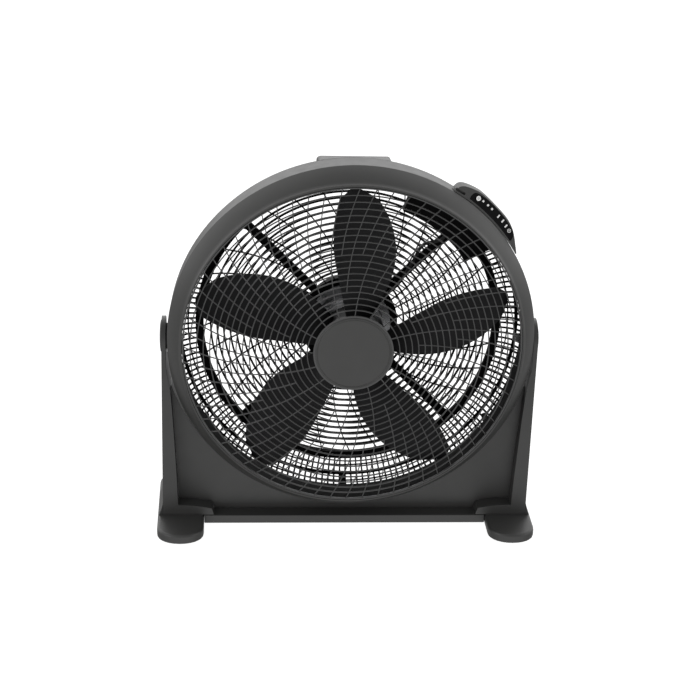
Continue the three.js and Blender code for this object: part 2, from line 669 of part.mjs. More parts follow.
function buildMotor(drum) {
  addPiece(drum, 'motor_front_cover', motorFrontCoverGeometry(), steel());
  addPiece(drum, 'motor_rear_cover', motorRearCoverGeometry(), steel());
  addPiece(drum, 'front_bearing', bearingGeometry(MOTOR_FRONT - 2, MOTOR_FRONT + 6), bronze());
  addPiece(drum, 'rear_bearing', bearingGeometry(97, 104), bronze());
  addPiece(drum, 'stator_core', statorGeometry(), steel());
  addPiece(drum, 'stator_windings', windingsGeometry(), copper());
  addPiece(drum, 'motor_cover', motorCoverGeometry(), black());
  addPiece(drum, 'cable_inlet', cableInletGeometry(), rubber());
  [45, 135, 225, 315].forEach((angle, i) => {
    const at = (y) => polar(MOTOR_SCREW_CIRCLE, angle, y);
    const screw = join(bar(at(66), at(79), 2, 8), bar(at(66), at(68.7), 4, 12));
    addPiece(drum, `motor_screw_${i + 1}`, screw, steel());
  });
}

// ---------- control electronics ----------
const BOX_ANGLES = [33, 69];
const BOX_INNER = 207;
const BOX_OUTER = 256;
const BOX_FRONT = 46;
const BOX_REAR = 62;

// A slice of a ring, between two radii and two angles.
function sector(inner, outer, fromAngle, toAngle, y0, y1) {
  const shape = new THREE.Shape();
  shape.absarc(0, 0, outer, rad(fromAngle), rad(toAngle), false);
  shape.absarc(0, 0, inner, rad(toAngle), rad(fromAngle), true);
  return extrudeAlongY(shape, y0, y1, 8);
}

function electronicsBoxGeometry() {
  const [from, to] = BOX_ANGLES;
  const outside = sector(BOX_INNER, BOX_OUTER, from, to, BOX_FRONT, BOX_REAR);
  const inside = sector(BOX_INNER + 2, BOX_OUTER - 2, from + 0.6, to - 0.6, BOX_FRONT + 2, BOX_REAR + 5);
  return cut(outside, inside);
}

function motorLeadGeometry() {
  const path = new THREE.CatmullRomCurve3([
    polar(BOX_INNER - 0.4, 47, 56), polar(196, 47, 57), polar(172, 51, 61), polar(140, 48, 64),
    polar(100, 43, 64), polar(68, 44, 61), polar(MOTOR_RADIUS + 0.6, 45, 60),
  ].map((point) => new THREE.Vector3(...point)));
  const section = new THREE.Shape().absarc(0, 0, 2.5, 0, 2 * Math.PI, false);
  return new THREE.ExtrudeGeometry(section, { steps: 22, extrudePath: path, curveSegments: 4 });
}

// The pod is drawn in its own frame, where Z points out through the pod's middle.
// Points on it are given as a radius and an angle from the middle, counted towards -X.
const onPod = (r, degrees) => new THREE.Vector2(-r * Math.sin(rad(degrees)), r * Math.cos(rad(degrees)));

const POD_CROWN = [
  [282.2, -14.4], [288.7, -11.3], [293.1, -9.4], [297, -7.2], [298.6, -4.5], [298.7, 0],
  [299.4, 5], [298.8, 8], [295, 11.6], [290.1, 13.4], [283.1, 14],
];

function podOutline() {
  const shape = new THREE.Shape();
  const points = POD_CROWN.map(([r, degrees]) => onPod(r, degrees));
  shape.absarc(0, 0, POD_INNER, rad(90 + 14), rad(90 - 14.4), true);
  shape.lineTo(points[0].x, points[0].y);
  shape.splineThru(points.slice(1));
  return shape;
}

// Puts a piece drawn flat, face towards -Y at y = 0, on the pod's leaning front.
function onPanel(geometry) {
  return geometry.translate(0, 0, -DRUM_RADIUS).rotateX(-rad(PANEL_TILT)).translate(0, POD_PIVOT_Y, DRUM_RADIUS);
}

const PANEL_INNER = { r: 283.6, from: 8.8, to: -9.8, steps: 14 };
const PANEL_CROWN = [
  [285.5, -9.9], [292.4, -9.2], [296.2, -7.2], [298.4, -3.9], [299.3, 0], [299.3, 3.5],
  [298, 6.9], [295, 8.4], [288, 8.9],
];

// The panel's outline drawn in by inset, and no nearer the drum's axis than floor.
function panelShape(inset, floor = 0) {
  const outer = new THREE.SplineCurve(PANEL_CROWN.map(([r, degrees]) => onPod(r, degrees)));
  const { r: innerRadius, from, to, steps } = PANEL_INNER;
  const points = outer.getPoints(28);
  for (let i = steps; i >= 0; i -= 1) {
    points.unshift(onPod(innerRadius, from + ((to - from) * i) / steps));
  }
  const count = points.length;
  return new THREE.Shape(points.map((point, i) => {
    const along = points[(i + 1) % count].clone().sub(points[(i + count - 1) % count]).normalize();
    const moved = point.clone().add(new THREE.Vector2(-along.y, along.x).multiplyScalar(inset));
    return moved.setLength(Math.max(moved.length(), floor));
  }));
}

// Corners of a window in the panel's plane, with a margin round it.
function windowCorners([r, degrees, halfWidth, halfLength], margin = 0) {
  const middle = onPod(r, degrees);
  const out = onPod(1, degrees).multiplyScalar(halfLength + margin);
  const across = new THREE.Vector2(Math.cos(rad(degrees)), Math.sin(rad(degrees)))
    .multiplyScalar(halfWidth + margin);
  return [[-1, -1], [1, -1], [1, 1], [-1, 1]].map(([u, v]) => middle.clone()
    .addScaledVector(across, u).addScaledVector(out, v));
}

const HOLLOW_FLOOR = 286.3;

function podHousingGeometry() {
  const body = extrudeAlongY(podOutline(), 2, POD_REAR, 3);
  const lean = onPanel(block(-120, 120, -60, 0, 250, 340));
  const seat = onPanel(extrudeAlongY(panelShape(-GAP), -20, 2.2));
  const hollow = onPanel(extrudeAlongY(panelShape(0.6, HOLLOW_FLOOR), -20, 9));
  const notch = sector(283.2, 286.8, 90 + 10.8, 90 + 14.6, 0, 9);
  return cut(body, lean, seat, hollow, notch);
}

function controlPanelGeometry() {
  const shape = panelShape(0);
  for (const window of WINDOWS) shape.holes.push(new THREE.Path(windowCorners(window, GAP)));
  for (const { r, angle, radius } of Object.values(BUTTONS)) {
    const { x, y } = onPod(r, angle);
    shape.holes.push(new THREE.Path().absarc(x, y, radius + GAP, 0, 2 * Math.PI, false));
  }
  return onPanel(extrudeAlongY(shape, 0.2, 1.8, 8));
}

function lightGuideGeometry() {
  const strip = sector(289, 295.6, 90 - 5.95, 90 + 5.35, 2.2, 4);
  const windows = WINDOWS.map((window) => extrudeAlongY(
    new THREE.Shape(windowCorners(window)), 0.3, 3));
  return onPanel(join(strip, ...windows));
}

function buttonGeometry({ r, angle, radius }) {
  const { x, y: z } = onPod(r, angle);
  const cap = bar([x, -0.9, z], [x, 4.2, z], radius, 20);
  return onPanel(join(cap, bar([x, 2.4, z], [x, 4.2, z], radius + 0.4, 20)));
}

function buildControls(drum, buttons) {
  addPiece(drum, 'electronics_box', electronicsBoxGeometry(), black());
  addPiece(drum, 'electronics_lid', sector(
    BOX_INNER, BOX_OUTER, ...BOX_ANGLES, BOX_REAR + GAP, BOX_REAR + 2), black());
  addPiece(drum, 'power_board', sector(BOX_INNER + 4, BOX_OUTER - 4, 35, 67, 51, 52.6), circuitGreen());
  addPiece(drum, 'motor_capacitor', block(-18, 18, 53, 61, 222, 242).rotateY(rad(38)), rubber());
  addPiece(drum, 'motor_lead', motorLeadGeometry(), rubber());
  const pod = new THREE.Group();
  pod.rotation.y = rad(90 - POD_ANGLE);
  addPiece(pod, 'pod_housing', podHousingGeometry(), charcoal());
  addPiece(pod, 'control_panel', controlPanelGeometry(), glossBlack());
  addPiece(pod, 'light_guide', lightGuideGeometry(), whiteLens());
  addPiece(pod, 'control_board', onPanel(extrudeAlongY(
    panelShape(2, HOLLOW_FLOOR + 0.8), 6, 7.6)), circuitGreen());
  drum.add(pod);
  buttons.rotation.y = pod.rotation.y;
  for (const [name, button] of Object.entries(BUTTONS)) {
    addPiece(buttons, name, buttonGeometry(button), glossBlack());
  }
}

// ---------- blade wheel ----------
// The top blade's edges, as an angle from +X towards +Z at a radius.
function trailingAngle(r) {
  return 102.6 - 7.4 * Math.max(0, (r - 140) / 105) ** 1.5;
}

function leadingAngle(r) {
  const u = (r - 85) / 160;
  return 57.7 + 14.3 * u + 13.8 * u * u;
}

const trailingDepth = (r) => -23 + 0.06 * (r - 140);
const leadingDepth = (r) => 1 - 0.02 * (r - 140);
const CAMBER = 3;

// The trailing edge is at the front of the wheel, and the leading edge at its rear.
function bladeGeometry(turn) {
  const stations = 6;
  const chords = 4;
  const surface = (side) => {
    const grid = [];
    for (let i = 0; i <= stations; i += 1) {
      const s = i / stations;
      const station = BLADE_ROOT + (BLADE_TIP - BLADE_ROOT) * s;
      const row = [];
      for (let j = 0; j <= chords; j += 1) {
        const c = j / chords;
        const r = station - TIP_ROUNDING * s * (2 * c - 0.9) ** 2;
        const angle = trailingAngle(r) + (leadingAngle(r) - trailingAngle(r)) * c;
        const [front, rear] = [trailingDepth(r), leadingDepth(r)];
        const depth = front + (rear - front) * c + CAMBER * 4 * c * (1 - c);
        const half = 0.5 + 1.2 * Math.sin(Math.PI * c);
        row.push(polar(r, angle + turn, depth + side * half));
      }
      grid.push(row);
    }
    return grid;
  };
  return skin(surface(-1), surface(1), () => false, false);
}

function impellerGeometry() {
  const hub = lathe([
    [SHAFT_RADIUS + GAP, HUB_FRONT], [44, HUB_FRONT], [HUB_RADIUS, HUB_FRONT + 2.3],
    [HUB_RADIUS, 27], [HUB_RADIUS - 3, 27], [HUB_RADIUS - 3, HUB_FRONT + 6],
    [HUB_RADIUS - 6, HUB_FRONT + 3], [11, HUB_FRONT + 3], [11, 22], [SHAFT_RADIUS + GAP, 22],
  ], 24);
  const blades = [];
  for (let k = 0; k < BLADES; k += 1) blades.push(bladeGeometry((k * 360) / BLADES));
  return join(hub, ...blades);
}

function buildImpeller(wheel) {
  addPiece(wheel, 'impeller', impellerGeometry(), black());
  const seat = HUB_FRONT - GAP;
  addPiece(wheel, 'spinner_nut', lathe([
    [0, seat - 7.5], [8, seat - 7.5], [12, seat - 4], [12, seat], [SHAFT_RADIUS + GAP, seat],
    [SHAFT_RADIUS + GAP, seat - 5.6], [0, seat - 5.6],
  ], 24), black());
  addPiece(wheel, 'motor_shaft', bar([0, seat - 5.3, 0], [0, 106, 0], SHAFT_RADIUS), steel());
  addPiece(wheel, 'rotor', ringAround(
    SHAFT_RADIUS + GAP, 29.5, STATOR_FRONT + 1, STATOR_REAR - 1, 24), steel());
}

// ---------- the whole fan ----------
const fan = new THREE.Group();
buildStand(fan);

const drum = new THREE.Group();
drum.position.set(0, DRUM_FRONT, DRUM_HEIGHT);
buildDrumShell(drum);
buildMotor(drum);
const buttons = new THREE.Group();
buildControls(drum, buttons);
drum.add(buttons);
const wheel = new THREE.Group();
buildImpeller(wheel);
drum.add(wheel);
fan.add(drum);

export default fan;
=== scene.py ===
"""Looks of the tilting drum fan: its detailed pieces, materials, studio and camera."""
import json
import math

import bmesh
import bpy
from mathutils import Matrix, Vector


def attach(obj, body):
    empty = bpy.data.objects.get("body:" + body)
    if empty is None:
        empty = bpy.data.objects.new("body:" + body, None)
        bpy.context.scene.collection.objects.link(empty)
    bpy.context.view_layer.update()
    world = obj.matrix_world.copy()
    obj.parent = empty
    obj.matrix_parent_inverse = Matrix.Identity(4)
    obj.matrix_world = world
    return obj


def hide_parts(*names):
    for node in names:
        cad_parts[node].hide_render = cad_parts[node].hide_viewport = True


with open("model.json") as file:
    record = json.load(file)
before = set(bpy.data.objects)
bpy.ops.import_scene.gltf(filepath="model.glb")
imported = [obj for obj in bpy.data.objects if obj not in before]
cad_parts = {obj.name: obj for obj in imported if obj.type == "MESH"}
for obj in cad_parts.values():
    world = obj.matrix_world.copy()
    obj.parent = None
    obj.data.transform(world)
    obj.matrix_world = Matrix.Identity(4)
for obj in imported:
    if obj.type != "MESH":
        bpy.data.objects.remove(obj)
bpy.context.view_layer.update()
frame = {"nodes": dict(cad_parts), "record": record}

# ---------- driving dimensions, in millimetres ----------
MM = 0.001
GAP = 0.3                        # between neighbouring pieces
ROUND = 160                      # segments round the drum
WELD = 1e-7                      # points nearer than this are one point, in metres
SHARP_ANGLE = 38                 # an edge that turns more than this stays sharp, in degrees
SIDES = {"left": -1, "right": 1}

# frames and pivots
ROW = (0, 0, 0)                  # the stand is drawn in the row frame
DRUM_PLACE = (0, -40, 319)       # the drum's own origin in the row frame
PIVOT_HEIGHT = 309
PIVOT_Y = 40                     # the pivot, in the drum's own frame
PIVOT_Z = -10
PIVOT_BORE = 9.3                 # radius

# drum housing
DRUM_RADIUS = 280
LIP_RADIUS = 257                 # the bezel's lip round the grille
LIP_FRONT = -33
WALL_REAR = 42
WALL_REAR_RADIUS = 278
WALL = 2.6
BEZEL_BULGE = (270.2, -19.5)     # radius and y that the bezel's curve is drawn towards
DUCT_RADIUS = 262.6
DUCT_OUTER_RADIUS = 265
DUCT_REAR = 30
SCREW_ANGLES = (20, 160, 215, 325)
SCREW_CIRCLE = 270.4
SCREW_BOSS = 5                   # radius
SCREW_BORE = 2.2                 # radius

# rear shell and rear grille
SHELL_CENTRE_RADIUS = 236
SHELL_RADIAL = 41
SHELL_AXIAL = 31
SHELL_START = WALL_REAR + GAP
SHELL_INNER_RADIUS = 226
REAR_GRILLE_FRONT = SHELL_START + SHELL_AXIAL + GAP
REAR_GRILLE_RADIUS = 236
REAR_GRILLE_INNER_RADIUS = 225.5
REAR_GRILLE_THICKNESS = 4
ARM_ANGLES = (45, 135, 225, 315)

# motor
MOTOR_RADIUS = 52
MOTOR_FRONT = 30
MOTOR_REAR = 102
MOTOR_SCREW_CIRCLE = 59
MOTOR_SCREW_BORE = 2.3           # radius
COVER_RADIUS = 70
COVER_REAR = 111

# front grille
GRILLE_RIM_RADIUS = 256.4
GRILLE_RIM_INNER_RADIUS = 254.3
GRILLE_HUB_RADIUS = 60
GRILLE_RIM_Y = -31
GRILLE_HUB_Y = -46
GRILLE_TWIST = 17.5              # how far a spoke turns from hub to rim, in degrees
GRILLE_RINGS = 19
GRILLE_SPOKES = 64
BADGE_RADIUS = 57.5

# blade wheel
BLADES = 5
BLADE_ROOT = 45
BLADE_TIP = 247
TIP_ROUNDING = 14
CAMBER = 3
TRAILING_ANGLE = 102.6           # of the trailing edge up to SWEEP_RADIUS, in degrees
TRAILING_SWEEP = 7.4             # how far that edge bends over by the tip
SWEEP_RADIUS = 140
SWEEP_LENGTH = 105
HUB_RADIUS = 47
HUB_FRONT = -30.5
HUB_REAR = 27

# stand
ARM_OUTER = 289
ARM_TOP_INNER = 282.3
ARM_TOP_RADIUS = 31
ARM_HALF_DEPTH = 40
FOOT_TOP = 17
FOOT_BOTTOM = 2
FOOT_CENTRE = 260.5
FOOT_HALF_WIDTH = 36.5
FOOT_HALF_LENGTH = 106
FOOT_END_LENGTH = 31
PANEL_FRONT = -15
PANEL_HOLE_RADIUS = 288
PANEL_FLANGE_RADIUS = 290.6
PANEL_FLANGE_REAR = 22
RAIL_TOP = 16
PAD_BORE = 14.3                  # radius of the seat of a rubber pad
PAD_DEPTH = 3.5
PAD_OFFSET = 78                  # of a pad from the middle of its foot

# control pod
POD_ANGLE = 45                   # of its middle round the drum, in degrees
PANEL_TILT = 24                  # how far the panel leans back, in degrees
POD_PIVOT_Y = 4
POD_INNER = 280.6
POD_REAR = 26
HOLLOW_FLOOR = 286.3             # nearest to the drum's axis that the pod's hollow goes
# window: radius, angle from the pod's middle, half width, half length
WINDOWS = (
    (293.6, 4.8, 1.5, 1.5), (293.8, 2.9, 1.5, 1.5), (293.9, 1.2, 1.5, 1.5),
    (293.4, -1.8, 1.15, 2.8), (293.5, -3.75, 1.15, 2.8), (292.4, -5.55, 1.15, 2.8))
# button: radius of its place, angle, its own radius
BUTTONS = {"speed_button": (292.0, 6.6, 4.15), "timer_button": (291.4, -7.2, 3.3)}

# carry handle: its top leans back gently to the bend, then falls to the rear
HANDLE_HALF = 56
HANDLE_FRONT = 43
HANDLE_REAR = 98
HANDLE_FRONT_HEIGHT = 272
HANDLE_BEND = 87
HANDLE_BEND_HEIGHT = 266.7
HANDLE_LEAN = 7                  # in degrees
HANDLE_CORNER = 9                # rounding of the top's two ends
HANDLE_REAR_HEIGHT = 257.3
HANDLE_LIP = 248
HANDLE_WALL = 3.5


# ---------- materials ----------
def grained(name, colour, roughness, *, tint=0.12, grain=900.0, relief=0.05, wear=0.06,
            metallic=0.0, specular=0.5):
    """Moulded plastic or metal: mottled colour, a fine grain in relief and uneven gloss."""
    material = bpy.data.materials.new(name)
    material.use_nodes = True
    nodes, links = material.node_tree.nodes, material.node_tree.links
    shader = nodes["Principled BSDF"]
    shader.inputs["Metallic"].default_value = metallic
    shader.inputs["Specular IOR Level"].default_value = specular
    place = nodes.new("ShaderNodeTexCoord")

    def noise(scale, detail):
        node = nodes.new("ShaderNodeTexNoise")
        node.inputs["Scale"].default_value = scale
        node.inputs["Detail"].default_value = detail
        links.new(place.outputs["Object"], node.inputs["Vector"])
        return node

    mottle = noise(24.0, 5.0)
    ramp = nodes.new("ShaderNodeValToRGB")
    ramp.color_ramp.elements[0].position = 0.3
    ramp.color_ramp.elements[1].position = 0.7
    ramp.color_ramp.elements[0].color = (*(c * (1 - tint) for c in colour), 1)
    ramp.color_ramp.elements[1].color = (*(c * (1 + tint) for c in colour), 1)
    links.new(mottle.outputs["Fac"], ramp.inputs["Fac"])
    links.new(ramp.outputs["Color"], shader.inputs["Base Color"])

    gloss = noise(60.0, 3.0)
    spread = nodes.new("ShaderNodeMapRange")
    spread.inputs["To Min"].default_value = roughness - wear
    spread.inputs["To Max"].default_value = roughness + wear
    links.new(gloss.outputs["Fac"], spread.inputs["Value"])
    links.new(spread.outputs["Result"], shader.inputs["Roughness"])

    fine = noise(grain, 2.0)
    bump = nodes.new("ShaderNodeBump")
    bump.inputs["Strength"].default_value = relief
    bump.inputs["Distance"].default_value = 0.0004
    links.new(fine.outputs["Fac"], bump.inputs["Height"])
    links.new(bump.outputs["Normal"], shader.inputs["Normal"])
    return material


def ringed_metal(name, colour, roughness, lines):
    """Turned or drawn metal with fine lines across Y."""
    material = grained(name, colour, roughness, metallic=1.0, tint=0.1, relief=0.02)
    nodes, links = material.node_tree.nodes, material.node_tree.links
    place = nodes["Texture Coordinate"]
    wave = nodes.new("ShaderNodeTexWave")
    wave.bands_direction = "Y"
    wave.inputs["Scale"].default_value = lines
    wave.inputs["Distortion"].default_value = 1.5
    links.new(place.outputs["Object"], wave.inputs["Vector"])
    bump = nodes.new("ShaderNodeBump")
    bump.inputs["Strength"].default_value = 0.12
    bump.inputs["Distance"].default_value = 0.0002
    links.new(wave.outputs["Fac"], bump.inputs["Height"])
    links.new(nodes["Bump"].outputs["Normal"], bump.inputs["Normal"])
    links.new(bump.outputs["Normal"], nodes["Principled BSDF"].inputs["Normal"])
    return material


CHARCOAL = grained("charcoal_moulding", (0.036, 0.036, 0.035), 0.42, tint=0.05)
GRILLE = grained("grille_moulding", (0.056, 0.056, 0.056), 0.4, tint=0.06)
BLACK = grained("black_moulding", (0.003, 0.003, 0.0031), 0.5, tint=0.1, specular=0.05)
BLADE = grained("blade_moulding", (0.005, 0.005, 0.0056), 0.36, tint=0.12, relief=0.02, specular=0.2)
GLOSS = grained("gloss_panel", (0.003, 0.003, 0.0034), 0.14, wear=0.03, relief=0.004, specular=0.15)
WHITE = grained("white_print", (0.83, 0.83, 0.82), 0.35, tint=0.03, relief=0.01)
RUBBER = grained("soft_rubber", (0.014, 0.014, 0.014), 0.78, tint=0.15, relief=0.15)
STEEL = ringed_metal("plated_steel", (0.55, 0.55, 0.56), 0.3, 700.0)
CASTING = ringed_metal("motor_casting", (0.32, 0.32, 0.33), 0.42, 250.0)
BRONZE = ringed_metal("sintered_bronze", (0.42, 0.27, 0.12), 0.45, 400.0)
COPPER = ringed_metal("copper_wire", (0.6, 0.22, 0.08), 0.35, 900.0)
BOARD = grained("circuit_board", (0.01, 0.09, 0.035), 0.4, tint=0.2, relief=0.02)

SLOTS = {
    "charcoal_plastic": CHARCOAL, "grille_plastic": GRILLE, "black_plastic": BLACK,
    "blade_plastic": BLADE, "gloss_black": GLOSS, "white_lens": WHITE, "soft_rubber": RUBBER,
    "plated_steel": STEEL, "motor_casting": CASTING, "sintered_bronze": BRONZE,
    "copper_wire": COPPER, "circuit_board": BOARD,
}


# ---------- geometry kit: a shape is (vertices in millimetres, faces) ----------
def merged(*shapes):
    """Several shapes as one."""
    vertices, faces = [], []
    for more_vertices, more_faces in shapes:
        start = len(vertices)
        vertices.extend(more_vertices)
        faces.extend(tuple(i + start for i in face) for face in more_faces)
    return vertices, faces


def moved(shape, matrix):
    return [tuple(matrix @ Vector(v)) for v in shape[0]], shape[1]


def shift(x, y, z):
    return Matrix.Translation((x, y, z))


def turn(axis, degrees):
    return Matrix.Rotation(math.radians(degrees), 4, axis)


def polar(r, degrees, y):
    """A point round the Y axis, counted from +X towards +Z."""
    a = math.radians(degrees)
    return (r * math.cos(a), y, r * math.sin(a))


def fillet(points, radius, steps=3):
    """Rounds the corners of a closed 2-D outline; radius is one number, or one for each corner."""
    radii = radius if isinstance(radius, (list, tuple)) else [radius] * len(points)
    outline = []
    for i, (point, r) in enumerate(zip(points, radii)):
        corner = Vector(point)
        a = Vector(points[i - 1]) - corner
        b = Vector(points[(i + 1) % len(points)]) - corner
        if r <= 0 or a.angle(b) > 3.1:
            outline.append(tuple(corner))
            continue
        reach = min(r / math.tan(a.angle(b) / 2), 0.45 * a.length, 0.45 * b.length)
        start, end = corner + a.normalized() * reach, corner + b.normalized() * reach
        for k in range(steps + 1):
            t = k / steps
            outline.append(tuple((1 - t) ** 2 * start + 2 * t * (1 - t) * corner + t * t * end))
    return outline


def curve_points(controls, steps=8):
    """A smooth line through 2-D or 3-D points."""
    line = [Vector(p) for p in controls]
    line = [2 * line[0] - line[1], *line, 2 * line[-1] - line[-2]]
    found = []
    for i in range(1, len(line) - 2):
        p0, p1, p2, p3 = line[i - 1:i + 3]
        for k in range(steps):
            t = k / steps
            found.append(tuple(0.5 * (
                2 * p1 + (p2 - p0) * t + (2 * p0 - 5 * p1 + 4 * p2 - p3) * t * t
                + (3 * p1 - p0 - 3 * p2 + p3) * t ** 3)))
    found.append(tuple(line[-2]))
    return found


def lathe(profile, segments=ROUND):
    """Turns a closed outline of (radius, y) round the Y axis."""
    count = len(profile)
    vertices = [
        polar(r, 360 * j / segments, y) for j in range(segments) for r, y in profile]
    faces = []
    for j in range(segments):
        here, there = j * count, (j + 1) % segments * count
        for i in range(count):
            k = (i + 1) % count
            faces.append((here + i, here + k, there + k, there + i))
    return vertices, faces


def loft(sections):
    """Joins outlines of the same number of points, with flat ends."""
    count, rows = len(sections[0]), len(sections)
    vertices = [tuple(v) for section in sections for v in section]
    faces = []
    for s in range(rows - 1):
        here, there = s * count, (s + 1) * count
        for i in range(count):
            j = (i + 1) % count
            faces.append((here + i, here + j, there + j, there + i))
    faces.append(tuple(range(count)))
    faces.append(tuple(range((rows - 1) * count, rows * count)))
    return vertices, faces


def prism(outline, place, near, far):
    """Extrudes a 2-D outline between near and far; place(u, v, t) puts a point in space."""
    return loft([[place(u, v, t) for u, v in outline] for t in (near, far)])


def along_y(outline, near, far):
    return prism(outline, lambda x, z, y: (x, y, z), near, far)


def along_x(outline, near, far):
    return prism(outline, lambda y, z, x: (x, y, z), near, far)


def block(x0, x1, y0, y1, z0, z1):
    return along_y([(x0, z0), (x1, z0), (x1, z1), (x0, z1)], y0, y1)


def rod(start, end, radius, segments=24):
    """A round bar from one point to another."""
    a, b = Vector(start), Vector(end)
    across = (b - a).orthogonal().normalized() * radius
    circle = [
        Matrix.Rotation(math.tau * i / segments, 3, b - a) @ across for i in range(segments)]
    return loft([[a + v for v in circle], [b + v for v in circle]])


def tube(path, radius, segments=16):
    """A round tube along a line of points, with flat ends."""
    line = [Vector(p) for p in path]
    across = (line[1] - line[0]).orthogonal().normalized()
    sections = []
    for i, point in enumerate(line):
        ahead = (line[min(i + 1, len(line) - 1)] - line[max(i - 1, 0)]).normalized()
        across = (across - ahead * across.dot(ahead)).normalized()
        side = ahead.cross(across)
        sections.append([
            point + radius * (across * math.cos(a) + side * math.sin(a))
            for a in (math.tau * k / segments for k in range(segments))])
    return loft(sections)


def skin(near, far, is_open, wrap):
    """A wall between two grids of points; is_open(i, j) leaves a cell out."""
    rows, columns = len(near), len(near[0])
    cells = columns if wrap else columns - 1
    vertices = [tuple(p) for grid in (near, far) for row in grid for p in row]
    back = rows * columns

    def at(i, j):
        return i * columns + j % columns

    def filled(i, j):
        if i < 0 or i >= rows - 1 or (not wrap and (j < 0 or j >= cells)):
            return False
        return not is_open(i, j % cells)

    faces = []
    for i in range(rows - 1):
        for j in range(cells):
            if not filled(i, j):
                continue
            a, b, c, d = at(i, j), at(i, j + 1), at(i + 1, j + 1), at(i + 1, j)
            faces.append((a, b, c, d))
            faces.append((d + back, c + back, b + back, a + back))
            edges = (((i - 1, j), a, b), ((i, j + 1), b, c), ((i + 1, j), c, d), ((i, j - 1), d, a))
            for cell, p, q in edges:
                if not filled(*cell):
                    faces.append((q, p, p + back, q + back))
    return vertices, faces


def raw_object(name, shape, place=DRUM_PLACE):
    """A mesh object from a shape, welded, with its faces turned outward."""
    mesh = bpy.data.meshes.new(name)
    offset = Vector(place)
    mesh.from_pydata([(Vector(v) + offset) * MM for v in shape[0]], [], shape[1])
    work = bmesh.new()
    work.from_mesh(mesh)
    bmesh.ops.remove_doubles(work, verts=work.verts, dist=WELD)
    loose = [v for v in work.verts if not v.link_faces]
    bmesh.ops.delete(work, geom=loose, context="VERTS")
    bmesh.ops.recalc_face_normals(work, faces=work.faces)
    work.to_mesh(mesh)
    work.free()
    made = bpy.data.objects.new(name, mesh)
    bpy.context.scene.collection.objects.link(made)
    return made


def combine(made, operation, *shapes, place=DRUM_PLACE):
    """Joins shapes to an object, or cuts them from it."""
    for shape in shapes:
        tool = raw_object("tool", shape, place)
        modifier = made.modifiers.new("combine", "BOOLEAN")
        modifier.operation = operation
        modifier.solver = "MANIFOLD"
        modifier.object = tool
        bpy.context.view_layer.update()
        whole = made.evaluated_get(bpy.context.evaluated_depsgraph_get())
        result = bpy.data.meshes.new_from_object(whole)
        made.modifiers.clear()
        made.data = result
        bpy.data.objects.remove(tool)


def soften(made, width, segments=2, angle=32):
    """Rounds the sharp edges and keeps flat faces flat."""
    bevel = made.modifiers.new("edges", "BEVEL")
    bevel.width = width * MM
    bevel.segments = segments
    bevel.limit_method = "ANGLE"
    bevel.angle_limit = math.radians(angle)
    bevel.miter_outer = "MITER_ARC"
    bevel.use_clamp_overlap = True
    made.modifiers.new("normals", "WEIGHTED_NORMAL")


def finish_piece(made, body, slot, replaced=()):
    """Gives a piece its material, shading and body, and hides the CAD nodes it stands for."""
    mesh = made.data
    mesh.polygons.foreach_set("use_smooth", [True] * len(mesh.polygons))
    if not made.modifiers:
        mesh.set_sharp_from_angle(angle=math.radians(SHARP_ANGLE))
    mesh.materials.clear()
    mesh.materials.append(SLOTS[slot])
    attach(made, body)
    if replaced:
        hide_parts(*replaced)


def screw_rods(start, end, radius, segments=24):
    """One rod for each housing screw."""
    return [rod(polar(SCREW_CIRCLE, a, start), polar(SCREW_CIRCLE, a, end), radius, segments)
            for a in SCREW_ANGLES]


def motor_screw_bores():
    return [rod(polar(MOTOR_SCREW_CIRCLE, a, 60), polar(MOTOR_SCREW_CIRCLE, a, 90),
                MOTOR_SCREW_BORE, 16) for a in ARM_ANGLES]


def pivot_bores():
    """The holes through the drum's wall for its two pivots."""
    near, far = DRUM_RADIUS - 25, DRUM_RADIUS + 15
    return [rod((side * near, PIVOT_Y, PIVOT_Z), (side * far, PIVOT_Y, PIVOT_Z), PIVOT_BORE)
            for side in SIDES.values()]


# ---------- drum: housing and grilles ----------
def bezel_curve(start, steps):
    """The bezel's front, from near the grille opening out to the drum's edge."""
    points = []
    for k in range(steps + 1):
        t = start + (1 - start) * k / steps
        a, b, c = (1 - t) ** 2, 2 * t * (1 - t), t * t
        points.append((
            a * LIP_RADIUS + b * BEZEL_BULGE[0] + c * DRUM_RADIUS, a * LIP_FRONT + b * BEZEL_BULGE[1]))
    return points


def build_housing():
    steps = 9
    front = bezel_curve(0.17, steps)
    profile = fillet(
        [(LIP_RADIUS, LIP_FRONT), (259.3, LIP_FRONT), (260.2, -31.4), *front,
         (WALL_REAR_RADIUS, WALL_REAR), (WALL_REAR_RADIUS - WALL, WALL_REAR),
         (DRUM_RADIUS - WALL, 2), (268.5, -15), (258.5, -27.5), (LIP_RADIUS, -28)],
        [0.8, 0.7, 0.4] + [0] * steps + [0.25, 0.5, 0.4] + [0.5] * 4, steps=3)
    housing = raw_object("housing", lathe(profile, ROUND))
    combine(housing, "UNION", merged(*screw_rods(16, WALL_REAR, SCREW_BOSS)))
    combine(housing, "DIFFERENCE", merged(
        *screw_rods(26, WALL_REAR + 9, SCREW_BORE, 12), *pivot_bores()))
    housing.modifiers.new("normals", "WEIGHTED_NORMAL")
    finish_piece(housing, "drum", "charcoal_plastic", ["front_housing"])

    # The duct ring takes the near-black moulding, darker than the charcoal housing round it: painted
    # shade for the dark inside of the drum's throat.
    duct = raw_object("duct", lathe(fillet(
        [(DUCT_RADIUS, -20.5), (DUCT_OUTER_RADIUS, -17.6), (DUCT_OUTER_RADIUS, DUCT_REAR),
         (DUCT_RADIUS, DUCT_REAR)], 0.4)))
    finish_piece(duct, "drum", "black_plastic", ["duct_ring"])


